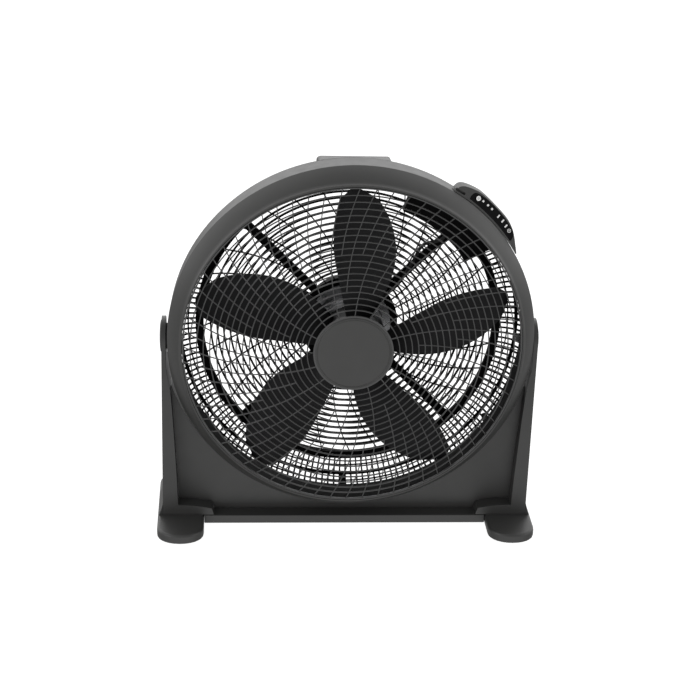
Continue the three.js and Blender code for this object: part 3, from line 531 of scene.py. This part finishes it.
def shell_point(degrees, inset):
    """A point of the shell's quarter-round section, as (radius, y)."""
    c, s = math.cos(math.radians(degrees)), math.sin(math.radians(degrees))
    normal = Vector((c / SHELL_RADIAL, s / SHELL_AXIAL)).normalized()
    return (SHELL_CENTRE_RADIUS + SHELL_RADIAL * c - inset * normal.x,
            SHELL_START + SHELL_AXIAL * s - inset * normal.y)


def build_rear_shell():
    """A quarter-round cage: two bands, each of two rows of oblong holes."""
    columns, rib, bar_width = 180, 0.56, 3.0      # rib and bar in degrees
    rows = [(0, False), (7, False)]
    for start, end in ((14, 46), (54, 87)):
        hole = (end - start - bar_width) / 2
        for low in (start, start + hole + bar_width):
            rows += [(low, True), (low + hole, False)]
    first_band = 6                                # rows before the second band
    grid_rows = [shell_point(d, 0) for d, _ in rows]
    far_rows = [shell_point(d, WALL) for d, _ in rows]
    last = SHELL_START + SHELL_AXIAL
    grid_rows += [(232.5, last), (SHELL_INNER_RADIUS, last - 0.4)]
    far_rows += [(232.5, last - WALL), (SHELL_INNER_RADIUS, last - WALL)]
    angles = []
    for k in range(columns):
        start = (k + 0.25) * 360 / columns + rib / 2
        angles += [start, start + 360 / columns - rib]
    solid_columns = {134, 45, 44}     # the bridges at the bottom and at the top

    def is_open(i, j):
        if i >= len(rows) or not rows[i][1] or j % 2:
            return False
        return not (j // 2 in solid_columns and i < first_band)

    near = [[polar(r, a, y) for a in angles] for r, y in grid_rows]
    far = [[polar(r, a, y) for a in angles] for r, y in far_rows]
    shell = raw_object("cage", skin(near, far, is_open, True))
    combine(shell, "UNION", merged(*screw_rods(SHELL_START, 60, SCREW_BOSS)))
    combine(shell, "DIFFERENCE", merged(*screw_rods(30, 70, SCREW_BORE, 12), *pivot_bores()))
    finish_piece(shell, "drum", "black_plastic", ["rear_shell"])


def wire_section(width, depth, crown):
    """Section of a moulded rib, as (across, back): narrow and rounded in front."""
    return [
        (-width / 2, depth), (width / 2, depth), (width / 2, crown), (width * 0.28, 0.12 * crown),
        (0, 0), (-width * 0.28, 0.12 * crown), (-width / 2, crown)]


def grille_rings(radii, y_at, width, depth, crown, segments=ROUND):
    return merged(*(
        lathe([(r + across, y_at(r) + back) for across, back in wire_section(width, depth, crown)],
              segments) for r in radii))


def grille_spoke(angle, inner, outer, angle_at, y_at, width, depth, crown, steps):
    """A curved spoke from one radius to another."""
    sections = []
    for k in range(steps + 1):
        r = inner + (outer - inner) * k / steps
        middle = Vector(polar(r, angle + angle_at(r), 0))
        ahead = Vector(polar(r + 1, angle + angle_at(r + 1), 0)) - middle
        side = Vector((ahead.z, 0, -ahead.x)).normalized()
        sections.append([
            middle + side * across + Vector((0, y_at(r) + back, 0))
            for across, back in wire_section(width, depth, crown)])
    return loft(sections)


def build_front_grille():
    span = GRILLE_RIM_RADIUS - GRILLE_HUB_RADIUS
    rings = [GRILLE_HUB_RADIUS + 9.55 * k + 0.0085 * k * k for k in range(1, GRILLE_RINGS + 1)]

    def y_at(r):
        s = max(0.0, (r - GRILLE_HUB_RADIUS) / span)
        return GRILLE_HUB_Y + (GRILLE_RIM_Y - GRILLE_HUB_Y) * s * s

    def angle_at(r):
        return -GRILLE_TWIST * (r - GRILLE_HUB_RADIUS) / span

    hub = lathe(fillet(
        [(52, -46), (60.6, -46), (60.6, -43.4), (52, -43.4)], 0.6))
    rim = lathe(fillet(
        [(GRILLE_RIM_INNER_RADIUS, -33.4), (GRILLE_RIM_RADIUS, -33.2), (GRILLE_RIM_RADIUS, -28.4),
         (GRILLE_RIM_INNER_RADIUS, -28.6)], 0.7))
    grille = raw_object("grille", merged(hub, rim, grille_rings(rings, y_at, 1.7, 2.6, 1.0)))
    spokes = []
    for k in range(GRILLE_SPOKES):
        if k % 4 == 0:
            inner, steps = 59.5, 28
        elif k % 4 == 2:
            inner, steps = rings[3], 20
        else:
            inner, steps = rings[9], 12
        spokes.append(grille_spoke(
            k * 360 / GRILLE_SPOKES, inner, 255.2, angle_at, lambda r: y_at(r) + 0.25,
            1.5, 2.1, 0.9, steps))
    combine(grille, "UNION", merged(*spokes))
    finish_piece(grille, "drum", "grille_plastic", ["front_grille"])

    disc = [(0, -47.45), (30, -47.45), (53.6, -47.35), (54.3, -46.9), (54.9, -46.9), (55.5, -47.6),
            (56.4, -47.6), (BADGE_RADIUS, -46.9), (BADGE_RADIUS, -46.3), (50.5, -46.3), (50.5, -41),
            (0, -41)]
    badge = raw_object("badge", lathe(fillet(
        disc, [0, 0, 0.2, 0.15, 0.15, 0.3, 0.4, 0.3, 0.1, 0, 0.3, 0], 2), ROUND))
    badge.modifiers.new("normals", "WEIGHTED_NORMAL")
    finish_piece(badge, "drum", "charcoal_plastic", ["grille_badge"])


def build_rear_grille():
    front, depth = REAR_GRILLE_FRONT, REAR_GRILLE_THICKNESS
    rings = [86 + 9.9 * k for k in range(14)]

    def flat_ring(inner, outer):
        return lathe(fillet(
            [(inner, front), (outer, front), (outer, front + depth), (inner, front + depth)], 0.5))

    grille = raw_object("rear", merged(
        flat_ring(54, 76), flat_ring(REAR_GRILLE_INNER_RADIUS, REAR_GRILLE_RADIUS),
        grille_rings(rings, lambda r: front + 0.1, 2.8, depth - 0.1, 0.5)))
    spokes = [grille_spoke(
        k * 360 / 32 + 5, 74.5, 227.5, lambda r: 20 * (r - 54) / 175, lambda r: front + 0.5,
        1.7, depth - 0.9, 0.4, 24) for k in range(32)]
    combine(grille, "UNION", merged(*spokes))
    arms = [moved(block(66, 227.5, front, front + depth, -6.5, 6.5), turn("Y", -a))
            for a in ARM_ANGLES]
    combine(grille, "UNION", merged(*arms))
    combine(grille, "DIFFERENCE", merged(*motor_screw_bores()))
    finish_piece(grille, "drum", "black_plastic", ["rear_grille"])


# ---------- blade wheel ----------
def trailing_angle(r):
    return TRAILING_ANGLE - TRAILING_SWEEP * max(0.0, (r - SWEEP_RADIUS) / SWEEP_LENGTH) ** 1.5


def leading_angle(r):
    u = (r - 85) / 160
    return 57.7 + 14.3 * u + 13.8 * u * u


def blade(angle):
    """A cambered blade whose tip is rounded and whose faces meet in thin edges."""
    stations, chords = 26, 18

    def surface(side):
        grid = []
        for i in range(stations + 1):
            s = i / stations
            station = BLADE_ROOT + (BLADE_TIP - BLADE_ROOT) * s
            row = []
            for j in range(chords + 1):
                c = 0.5 - 0.5 * math.cos(math.pi * j / chords)
                r = station - TIP_ROUNDING * s * (2 * c - 0.9) ** 2
                degrees = trailing_angle(r) + (leading_angle(r) - trailing_angle(r)) * c
                near, far = -23 + 0.06 * (r - SWEEP_RADIUS), 1 - 0.02 * (r - SWEEP_RADIUS)
                depth = near + (far - near) * c + CAMBER * 4 * c * (1 - c)
                half = (0.35 + 1.3 * math.sin(math.pi * c) ** 0.5) * (1 if i < stations else 0.55)
                row.append(polar(r, degrees + angle, depth + side * half))
            grid.append(row)
        return grid

    return skin(surface(-1), surface(1), lambda i, j: False, False)


def build_impeller():
    hub = lathe(fillet(
        [(4.3, HUB_FRONT), (44, HUB_FRONT), (HUB_RADIUS, HUB_FRONT + 2.3), (HUB_RADIUS, HUB_REAR),
         (44, HUB_REAR),
         (44, HUB_FRONT + 6), (41, HUB_FRONT + 3), (11, HUB_FRONT + 3), (11, 22), (4.3, 22)],
        [0.3, 1.5, 1.5, 0.6, 0.6, 2, 2, 1, 0.5, 0.3]), 96)
    wheel = raw_object("wheel", hub)
    for k in range(BLADES):
        combine(wheel, "UNION", blade(k * 360 / BLADES))
    finish_piece(wheel, "blade_wheel", "blade_plastic", ["impeller"])
    seat = HUB_FRONT - GAP
    nut = raw_object("spinner", lathe(fillet(
        [(0, seat - 7.5), (8, seat - 7.5), (12, seat - 4), (12, seat), (4.3, seat), (4.3, seat - 5.6),
         (0, seat - 5.6)], [0, 1.5, 1, 0.4, 0.3, 0.3, 0]), 60))
    grips = [moved(rod((13.4, seat - 9, 0), (13.4, seat + 2, 0), 2.2, 16), turn("Y", 30 * k))
             for k in range(12)]
    combine(nut, "DIFFERENCE", merged(*grips))
    finish_piece(nut, "blade_wheel", "black_plastic", ["spinner_nut"])


# ---------- motor ----------
def build_motor():
    outer, inner = MOTOR_RADIUS, MOTOR_RADIUS - 2
    flange = REAR_GRILLE_FRONT - GAP
    front = raw_object("motor_front", lathe(fillet(
        [(8, MOTOR_FRONT), (44, MOTOR_FRONT), (outer, MOTOR_FRONT + 4), (outer, 69), (65, 69),
         (65, flange), (inner, flange), (inner, MOTOR_FRONT + 5.5), (43, MOTOR_FRONT + 2.5),
         (8, MOTOR_FRONT + 2.5)],
        [0.3, 3, 3, 1.2, 1, 0.5, 0.3, 1, 1, 0.3]), 96))
    combine(front, "DIFFERENCE", merged(*motor_screw_bores()))
    finish_piece(front, "drum", "motor_casting", ["motor_front_cover"])
    rear = raw_object("motor_rear", lathe(fillet(
        [(inner, REAR_GRILLE_FRONT), (outer, REAR_GRILLE_FRONT), (outer, MOTOR_REAR - 5),
         (44, MOTOR_REAR), (8, MOTOR_REAR), (8, MOTOR_REAR - 2.5), (43, MOTOR_REAR - 2.5),
         (inner, MOTOR_REAR - 6)],
        [0.3, 0.3, 3, 3, 0.3, 0.3, 1, 1]), 96))
    finish_piece(rear, "drum", "motor_casting", ["motor_rear_cover"])

    r, start = COVER_RADIUS, REAR_GRILLE_FRONT + REAR_GRILLE_THICKNESS + GAP
    cover = raw_object("rear_cap", lathe(fillet(
        [(r, start), (r, COVER_REAR - 8), (r - 7, COVER_REAR), (0, COVER_REAR),
         (0, COVER_REAR - 2.5), (r - 8, COVER_REAR - 2.5), (r - 2.5, COVER_REAR - 9),
         (r - 2.5, start)], [0.6, 5, 5, 0, 0, 3, 3, 0.4]), 120))
    slots = []
    for z, half in ((-40, 24), (-30, 34), (-20, 38), (-10, 40), (0, 41), (10, 40), (20, 38),
                    (30, 34), (40, 24)):      # height and half length of each air slot
        outline = fillet([(-half, z - 1.8), (half, z - 1.8), (half, z + 1.8), (-half, z + 1.8)], 1.75)
        slots.append(along_y(outline, COVER_REAR - 6, COVER_REAR + 4))
    combine(cover, "DIFFERENCE", merged(*slots), rod((0, 94, -50), (0, 94, -90), 6.7))
    soften(cover, 0.5, 2, 40)
    finish_piece(cover, "drum", "black_plastic", ["motor_cover"])

    inlet = raw_object("inlet", rod((0, 94, -62), (0, 94, -74), 6.4, 32))
    combine(inlet, "UNION", rod((0, 94, -70.8), (0, 94, -73.9), 9, 40))
    combine(inlet, "DIFFERENCE", rod((0, 94, -50), (0, 94, -90), 3.8, 24))
    soften(inlet, 0.5)
    finish_piece(inlet, "drum", "soft_rubber", ["cable_inlet"])


# ---------- control electronics ----------
def sector(inner, outer, start, end, steps=24):
    """Outline of a slice of a ring, in X and Z."""
    outline = [polar(outer, start + (end - start) * k / steps, 0)[::2] for k in range(steps + 1)]
    return outline + [
        polar(inner, end + (start - end) * k / steps, 0)[::2] for k in range(steps + 1)]


def build_electronics():
    case = raw_object("case", along_y(sector(207, 256, 33, 69), 46, 62))
    combine(case, "DIFFERENCE", along_y(sector(209, 254, 33.6, 68.4), 48, 67))
    soften(case, 0.8)
    finish_piece(case, "drum", "black_plastic", ["electronics_box"])
    lid = raw_object("lid", along_y(sector(207, 256, 33, 69), 62.3, 64))
    soften(lid, 0.6)
    finish_piece(lid, "drum", "black_plastic", ["electronics_lid"])

    path = curve_points([
        polar(206.6, 47, 56), polar(196, 47, 57), polar(172, 51, 61), polar(140, 48, 64),
        polar(100, 43, 64), polar(68, 44, 61), polar(52.6, 45, 60)], 6)
    lead = raw_object("lead", tube(path, 2.5))
    finish_piece(lead, "drum", "soft_rubber", ["motor_lead"])


# ---------- control pod ----------
POD_FRAME = turn("Y", 90 - POD_ANGLE)
LEANING = shift(0, POD_PIVOT_Y, DRUM_RADIUS) @ turn("X", -PANEL_TILT) @ shift(0, 0, -DRUM_RADIUS)
ON_PANEL = POD_FRAME @ LEANING


def pod_at(r, degrees):
    """A point at an angle from the pod's middle, counted towards -X."""
    a = math.radians(degrees)
    return (-r * math.sin(a), r * math.cos(a))


# outlines over the top of the pod and of its panel: radius, angle from the pod's middle
POD_CROWN = (
    (282.2, -14.4), (288.7, -11.3), (293.1, -9.4), (297, -7.2), (298.6, -4.5), (298.7, 0),
    (299.4, 5), (298.8, 8), (295, 11.6), (290.1, 13.4), (283.1, 14))
PANEL_CROWN = (
    (285.5, -9.9), (292.4, -9.2), (296.2, -7.2), (298.4, -3.9), (299.3, 0), (299.3, 3.5),
    (298, 6.9), (295, 8.4), (288, 8.9))
PANEL_INNER = 283.6      # radius of the panel's edge nearest to the bezel


def panel_outline(inset, floor=0.0):
    """The panel's outline drawn in by inset, and no nearer the drum's axis than floor."""
    steps = 20
    points = [pod_at(PANEL_INNER, 8.8 - 18.6 * k / steps) for k in range(steps + 1)]
    points += curve_points([pod_at(r, d) for r, d in PANEL_CROWN], 5)
    outline = []
    for i, point in enumerate(points):
        ahead, behind = Vector(points[(i + 1) % len(points)]), Vector(points[i - 1])
        along = (ahead - behind).normalized()
        moved_in = Vector(point) + Vector((-along.y, along.x)) * inset
        outline.append(tuple(moved_in * max(1.0, floor / moved_in.length)))
    return outline


def window_outline(r, degrees, half_width, half_length, margin=0.0):
    """A rounded window that points outward from the drum's axis."""
    middle = Vector(pod_at(r, degrees))
    a = math.radians(degrees)
    across, out = Vector((math.cos(a), math.sin(a))), Vector((-math.sin(a), math.cos(a)))
    corners = [(-1, -1), (1, -1), (1, 1), (-1, 1)]
    return fillet([
        tuple(middle + across * u * (half_width + margin) + out * v * (half_length + margin))
        for u, v in corners], 0.35, 2)


def build_pod():
    outside = curve_points([pod_at(r, d) for r, d in POD_CROWN], 6)
    steps = 18
    inside = [pod_at(POD_INNER, 14 - 28.4 * k / steps) for k in range(steps + 1)]
    body = raw_object("pod", moved(along_y(outside + inside, 2, POD_REAR), POD_FRAME))
    combine(body, "DIFFERENCE", moved(block(-120, 120, -60, 0, 250, 340), ON_PANEL))
    combine(body, "DIFFERENCE", moved(along_y(panel_outline(-GAP), -20, 2.2), ON_PANEL))
    combine(body, "DIFFERENCE", moved(along_y(panel_outline(0.6, HOLLOW_FLOOR), -20, 9), ON_PANEL))
    notch = fillet(
        [pod_at(286.8, 14.8), pod_at(283.2, 14.8), pod_at(283.2, 10.8), pod_at(286.8, 10.8)],
        [0, 0, 1.6, 1.6])
    combine(body, "DIFFERENCE", moved(along_y(notch, -20, 9), POD_FRAME))
    soften(body, 0.5, 2, 35)
    finish_piece(body, "drum", "charcoal_plastic", ["pod_housing"])

    panel = raw_object("fascia", moved(along_y(panel_outline(0), 0.2, 1.8), ON_PANEL))
    holes = [along_y(window_outline(*window, 0.15), -2, 6) for window in WINDOWS]
    for r, degrees, radius in BUTTONS.values():
        x, z = pod_at(r, degrees)
        holes.append(rod((x, -2, z), (x, 6, z), radius + GAP, 40))
    combine(panel, "DIFFERENCE", moved(merged(*holes), ON_PANEL))
    soften(panel, 0.2, 2, 50)
    finish_piece(panel, "drum", "gloss_black", ["control_panel"])

    strip = sector(289, 295.6, 90 - 5.95, 90 + 5.35)
    guide = raw_object("guide", moved(along_y(strip, 2.2, 4), ON_PANEL))
    lights = [along_y(window_outline(*window), 0.1, 3) for window in WINDOWS]
    combine(guide, "UNION", moved(merged(*lights), ON_PANEL))
    finish_piece(guide, "drum", "white_lens", ["light_guide"])


def build_button(name):
    """A dished round key with a plain mark printed on it."""
    place_radius, degrees, r = BUTTONS[name]
    x, z = pod_at(place_radius, degrees)
    profile = fillet(
        [(0, -0.75), (r - 1.2, -0.82), (r, -0.9), (r, 2.4), (r + 0.4, 2.4), (r + 0.4, 4.2), (0, 4.2)],
        [0, 0.4, 0.5, 0.1, 0.1, 0.2, 0])
    place = ON_PANEL @ shift(x, 0, z)
    key = raw_object(name.replace("button", "key"), moved(lathe(profile, 48), place))
    finish_piece(key, name, "gloss_black", [name])
    top, base = -0.88, -0.6
    if name == "speed_button":
        rings = [(1.5, r - 0.45), (0, 0.9)]
    else:
        rings = [(r - 1.05, r - 0.3), (0, 0.85)]
    marks = [lathe([(a, top), (b, top), (b, base), (a, base)], 40) for a, b in rings]
    mark = raw_object(name.replace("button", "mark"), moved(merged(*marks), place))
    finish_piece(mark, name, "white_lens")


# ---------- carry handle ----------
def build_handle():
    def side_outline(depth, corner):
        return fillet([
            (HANDLE_FRONT - depth, HANDLE_FRONT_HEIGHT - depth),
            (HANDLE_BEND - depth, HANDLE_BEND_HEIGHT - depth),
            (HANDLE_REAR - depth, HANDLE_REAR_HEIGHT - depth),
            (HANDLE_REAR - depth, HANDLE_LIP - 3 * depth),
            (HANDLE_FRONT - depth, HANDLE_LIP - 40)], [0, 2 * corner, corner, 0, 0], 6)

    half = HANDLE_HALF
    hood = raw_object("hood", along_x(side_outline(0, 7), -half - 5, half + 5))
    front = fillet([(-half, -80), (half, -80), (half, 0), (-half, 0)],
                   [0, 0, HANDLE_CORNER, HANDLE_CORNER], 6)
    leaning = shift(0, HANDLE_FRONT, HANDLE_FRONT_HEIGHT) @ turn("X", -HANDLE_LEAN)
    combine(hood, "INTERSECT", moved(along_y(front, -30, 80), leaning))
    inner_half = half - HANDLE_WALL
    combine(hood, "DIFFERENCE", along_x(side_outline(HANDLE_WALL, 4), -inner_half, inner_half))
    envelope = [(0, 30), (shell_point(0, -0.6)[0], 30)]
    envelope += [shell_point(d, -0.6) for d in range(0, 87, 6)]
    past_grille = REAR_GRILLE_FRONT + REAR_GRILLE_THICKNESS + 0.6
    envelope += [(REAR_GRILLE_RADIUS + 0.6, REAR_GRILLE_FRONT + 0.6),
                 (REAR_GRILLE_RADIUS + 0.6, past_grille), (0, past_grille)]
    combine(hood, "DIFFERENCE", lathe(envelope))
    soften(hood, 1.1, 3, 35)
    finish_piece(hood, "drum", "charcoal_plastic", ["carry_handle"])


# ---------- stand ----------
ARM_TOP = PIVOT_HEIGHT + ARM_TOP_RADIUS + 3
ARM_INNER_EDGE = [(ARM_TOP_INNER, 269), (275, 219), (268, 103), (265, 34)]


def mirrored(points, side):
    return [(side * x, z) for x, z in points]


def build_arm(name, side):
    bottom = FOOT_TOP + GAP
    inner = curve_points(ARM_INNER_EDGE, 6)
    corner = curve_points([(253, 33.6), (241, 33), (226, 31), (212, 28.5)], 4)
    outline = [(ARM_OUTER, bottom), (ARM_OUTER, ARM_TOP), (ARM_TOP_INNER, ARM_TOP), *inner, *corner,
               (209, 19), (209, bottom)]
    radii = [0] * 3 + [0] * len(inner) + [0] * (len(corner) - 1) + [2.5, 1, 0]
    arm = raw_object(f"{name}_upright", along_y(fillet(mirrored(outline, side), radii), -60, 60), ROW)
    profile = [(-ARM_HALF_DEPTH, bottom), (ARM_HALF_DEPTH, bottom)]
    steps = 32
    for k in range(steps + 1):
        y, z = math.cos(math.pi * k / steps), math.sin(math.pi * k / steps)
        profile.append((ARM_TOP_RADIUS * y, PIVOT_HEIGHT + ARM_TOP_RADIUS * z))
    low, high = sorted((side * 200, side * 300))
    combine(arm, "INTERSECT", along_x(profile, low, high), place=ROW)
    combine(arm, "DIFFERENCE",
            rod((side * 270, 0, PIVOT_HEIGHT), (side * 300, 0, PIVOT_HEIGHT), 4.3),
            rod((side * 285, 0, PIVOT_HEIGHT), (side * 300, 0, PIVOT_HEIGHT), 12, 40), place=ROW)
    soften(arm, 1.6, 3, 30)
    finish_piece(arm, "stand", "charcoal_plastic", [f"{name}_arm"])


def foot_outline(z, inset, steps=14):
    """A foot's outline at a height: straight sides and nearly round ends."""
    across, along = FOOT_HALF_WIDTH - inset, FOOT_END_LENGTH - inset
    straight = FOOT_HALF_LENGTH - FOOT_END_LENGTH
    squareness = 0.95
    points = []
    for side in (-1, 1):
        for k in range(steps + 1):
            c, s = math.cos(math.pi * k / steps), abs(math.sin(math.pi * k / steps))
            x = math.copysign(across * abs(c) ** squareness, c)
            points.append((side * x, side * (straight + along * s ** squareness), z))
    return points


def build_foot(name, side):
    centre = side * FOOT_CENTRE
    shoulder = FOOT_TOP - 4.5
    levels = [(FOOT_BOTTOM, 1.6), (FOOT_BOTTOM + 0.5, 0.5), (FOOT_BOTTOM + 2, 0), (shoulder, 0)]
    for k in range(1, 8):
        a = math.pi / 2 * k / 7
        levels.append((shoulder + 4.5 * math.sin(a), 4.5 * (1 - math.cos(a))))
    foot = raw_object(f"{name}_base", moved(
        loft([foot_outline(z, inset) for z, inset in levels]), shift(centre, 0, 0)), ROW)
    flare = [(ARM_OUTER + GAP, 8), *curve_points(
        [(297, 8), (296, 14), (294, 20), (292, 26), (290.5, 31), (ARM_OUTER + GAP, 36)], 5)]
    combine(foot, "UNION", along_y(mirrored(flare, side), -ARM_HALF_DEPTH, ARM_HALF_DEPTH), place=ROW)
    combine(foot, "DIFFERENCE", merged(
        *(rod((centre, y, 0), (centre, y, PAD_DEPTH), PAD_BORE, 40)
          for y in (-PAD_OFFSET, PAD_OFFSET))), place=ROW)
    combine(foot, "DIFFERENCE", rod((centre, 0, 0), (centre, 0, 7.5), 5), place=ROW)
    soften(foot, 1.2, 3, 40)
    finish_piece(foot, "stand", "charcoal_plastic", [f"{name}_foot"])


def build_stand_panel():
    """The recessed web, with a flange back along its round cut-out."""
    right = [(208.6, RAIL_TOP + GAP), (208.6, 19.3), (211.7, 28.9), (226, 31.4), (240.9, 33.4),
             (264.7, 34.4), (267.7, 103), (274.6, 218.5), (276.4, 232)]
    outline = right + [(-x, z) for x, z in reversed(right)]
    back, beyond = PANEL_FRONT + 4, 430
    web = raw_object("web", along_y(outline, PANEL_FRONT, PANEL_FLANGE_REAR), ROW)
    section = [(PANEL_HOLE_RADIUS, PANEL_FRONT - 5), (beyond, PANEL_FRONT - 5), (beyond, back),
               (PANEL_FLANGE_RADIUS, back), (PANEL_FLANGE_RADIUS, PANEL_FLANGE_REAR + 5),
               (PANEL_HOLE_RADIUS, PANEL_FLANGE_REAR + 5)]
    combine(web, "INTERSECT", moved(lathe(section, 192), shift(0, 0, DRUM_PLACE[2])), place=ROW)
    soften(web, 0.6, 2, 40)
    finish_piece(web, "stand", "charcoal_plastic", ["stand_panel"])


def build_rail():
    half = FOOT_CENTRE - FOOT_HALF_WIDTH - GAP
    y, top, bottom = ARM_HALF_DEPTH, RAIL_TOP, FOOT_BOTTOM
    outline = [(-y, bottom), (y, bottom), (y, top), (-y, top)]
    rail = raw_object("crossbar", along_x(outline, -half, half), ROW)
    soften(rail, 1.2, 3)
    finish_piece(rail, "stand", "charcoal_plastic", ["base_rail"])


def build_pivot_cap(name, side):
    profile = fillet([(0, 0), (25, 0), (24.2, 1.3), (18, 2.2), (12, 2.6), (0, 2.8)],
                     [0, 0.3, 0.8, 2, 2, 0])
    place = shift(side * (ARM_OUTER + GAP), 0, PIVOT_HEIGHT) @ turn("Z", -90 * side)
    cap = raw_object(f"{name}_cover_disc", moved(lathe(profile, 72), place), ROW)
    cap.modifiers.new("normals", "WEIGHTED_NORMAL")
    finish_piece(cap, "stand", "charcoal_plastic", [f"{name}_pivot_cap"])


# ---------- nodes kept from the CAD ----------
def dress_cad_nodes():
    """Gives every CAD node its slot's material, and fine rounded edges to the small ones."""
    slots = {part["node"]: part["material_slot"] for part in frame["record"]["subparts"]}
    for name, node in frame["nodes"].items():
        node.data.materials.clear()
        node.data.materials.append(SLOTS[slots[name]])
        if not node.hide_render:
            soften(node, 0.3, 2, 40)


# ---------- studio ----------
# how bright the surroundings are, by direction
FRONT_LIGHT = 0.5
BACK_LIGHT = 1.75
TOP_LIGHT = 0.42
FLOOR_LIGHT = 1.05
FLOOR_BACK_LIGHT = 0.4
# where one direction fades into the next, as Y or Z of the unit direction
BACK_BAND = (-0.15, 0.45)
TOP_BAND = (0.9, 0.98)
FLOOR_BAND = (-0.1, 0.05)
FLOOR_BACK_BAND = (-0.7, -0.1)
# soft boxes, in watts, and the paper floor
LEFT_POWER = 20
RIGHT_POWER = 12
SOFTBOX_WIDTH = 1.6
SOFTBOX_HEIGHT = 2.0
AIM = (0, 0, 0.3)
FLOOR_HALF = 9.0
FLOOR_GLOW = 0.95


def build_studio():
    floor = bpy.data.meshes.new("floor")
    h = FLOOR_HALF
    floor.from_pydata([(-h, -h, 0), (h, -h, 0), (h, h, 0), (-h, h, 0)], [], [(0, 1, 2, 3)])
    ground = bpy.data.objects.new("floor", floor)
    bpy.context.scene.collection.objects.link(ground)
    paper = bpy.data.materials.new("pale_floor")
    paper.use_nodes = True
    shader = paper.node_tree.nodes["Principled BSDF"]
    shader.inputs["Base Color"].default_value = (0.3, 0.3, 0.3, 1)
    shader.inputs["Roughness"].default_value = 0.9
    shader.inputs["Specular IOR Level"].default_value = 0.0
    shader.inputs["Emission Color"].default_value = (1, 1, 1, 1)
    shader.inputs["Emission Strength"].default_value = FLOOR_GLOW
    floor.materials.append(paper)
    ground.visible_diffuse = ground.visible_glossy = False

    world = bpy.data.worlds.new("studio")
    bpy.context.scene.world = world
    world.use_nodes = True
    nodes, links = world.node_tree.nodes, world.node_tree.links
    background = nodes["Background"]
    place = nodes.new("ShaderNodeTexCoord")
    split = nodes.new("ShaderNodeSeparateXYZ")
    links.new(place.outputs["Generated"], split.inputs["Vector"])

    def ramp(axis, start, end):
        node = nodes.new("ShaderNodeMapRange")
        node.inputs["From Min"].default_value = start
        node.inputs["From Max"].default_value = end
        links.new(split.outputs[axis], node.inputs["Value"])
        return node.outputs["Result"]

    def blend(factor, a, b):
        node = nodes.new("ShaderNodeMix")
        links.new(factor, node.inputs["Factor"])
        for socket, value in (("A", a), ("B", b)):
            if isinstance(value, float):
                node.inputs[socket].default_value = value
            else:
                links.new(value, node.inputs[socket])
        return node.outputs["Result"]

    low_light = blend(ramp("Y", *BACK_BAND), FRONT_LIGHT, BACK_LIGHT)
    floor_light = blend(ramp("Y", *FLOOR_BACK_BAND), FLOOR_LIGHT, FLOOR_BACK_LIGHT)
    low_light = blend(ramp("Z", *FLOOR_BAND), floor_light, low_light)
    strength = blend(ramp("Z", *TOP_BAND), low_light, TOP_LIGHT)
    seen = nodes.new("ShaderNodeLightPath")
    strength = blend(seen.outputs["Is Camera Ray"], strength, 1.0)
    links.new(strength, background.inputs["Strength"])
    background.inputs["Color"].default_value = (1, 1, 1, 1)

    def softbox(name, place, power):
        data = bpy.data.lights.new(name, "AREA")
        data.shape = "RECTANGLE"
        data.size, data.size_y = SOFTBOX_WIDTH, SOFTBOX_HEIGHT
        data.energy = power
        light = bpy.data.objects.new(name, data)
        light.location = place
        light.rotation_euler = (Vector(AIM) - Vector(place)).to_track_quat("-Z", "Y").to_euler()
        bpy.context.scene.collection.objects.link(light)

    softbox("left_softbox", (-2.2, -1.6, 1.2), LEFT_POWER)
    softbox("right_softbox", (2.4, -0.8, 1.2), RIGHT_POWER)
    bpy.context.scene.view_settings.view_transform = "Standard"


# ---------- camera ----------
CAMERA_PLACE = (-189.67, -2433.91, 1373.06)
CAMERA_PITCH = 0.4188            # angles in radians
CAMERA_YAW = -0.0782
CAMERA_ROLL = 0.0367
LENS = 88.63
SENSOR = 36


def build_camera():
    """Stands in front, a little to the left, and looks down at the fan."""
    level = math.cos(CAMERA_PITCH)
    back = Vector((math.sin(CAMERA_YAW) * level, -math.cos(CAMERA_YAW) * level,
                   math.sin(CAMERA_PITCH)))
    right = (-back).cross(Vector((0, 0, 1))).normalized()
    up = right.cross(-back)
    x_axis = right * math.cos(CAMERA_ROLL) + up * math.sin(CAMERA_ROLL)
    y_axis = -right * math.sin(CAMERA_ROLL) + up * math.cos(CAMERA_ROLL)
    place = Vector(CAMERA_PLACE) * MM
    data = bpy.data.cameras.new("camera")
    data.sensor_width = SENSOR
    data.lens = LENS
    camera = bpy.data.objects.new("camera", data)
    matrix = Matrix((x_axis, y_axis, back)).transposed().to_4x4()
    matrix.translation = place
    camera.matrix_world = matrix
    bpy.context.scene.collection.objects.link(camera)
    bpy.context.scene.camera = camera


# ---------- the whole scene ----------
build_camera()
build_housing()
build_rear_shell()
build_front_grille()
build_rear_grille()
build_impeller()
build_motor()
build_electronics()
build_pod()
for key_name in BUTTONS:
    build_button(key_name)
build_handle()
for side_name, side_sign in SIDES.items():
    build_arm(side_name, side_sign)
    build_foot(side_name, side_sign)
    build_pivot_cap(side_name, side_sign)
build_stand_panel()
build_rail()
dress_cad_nodes()
build_studio()
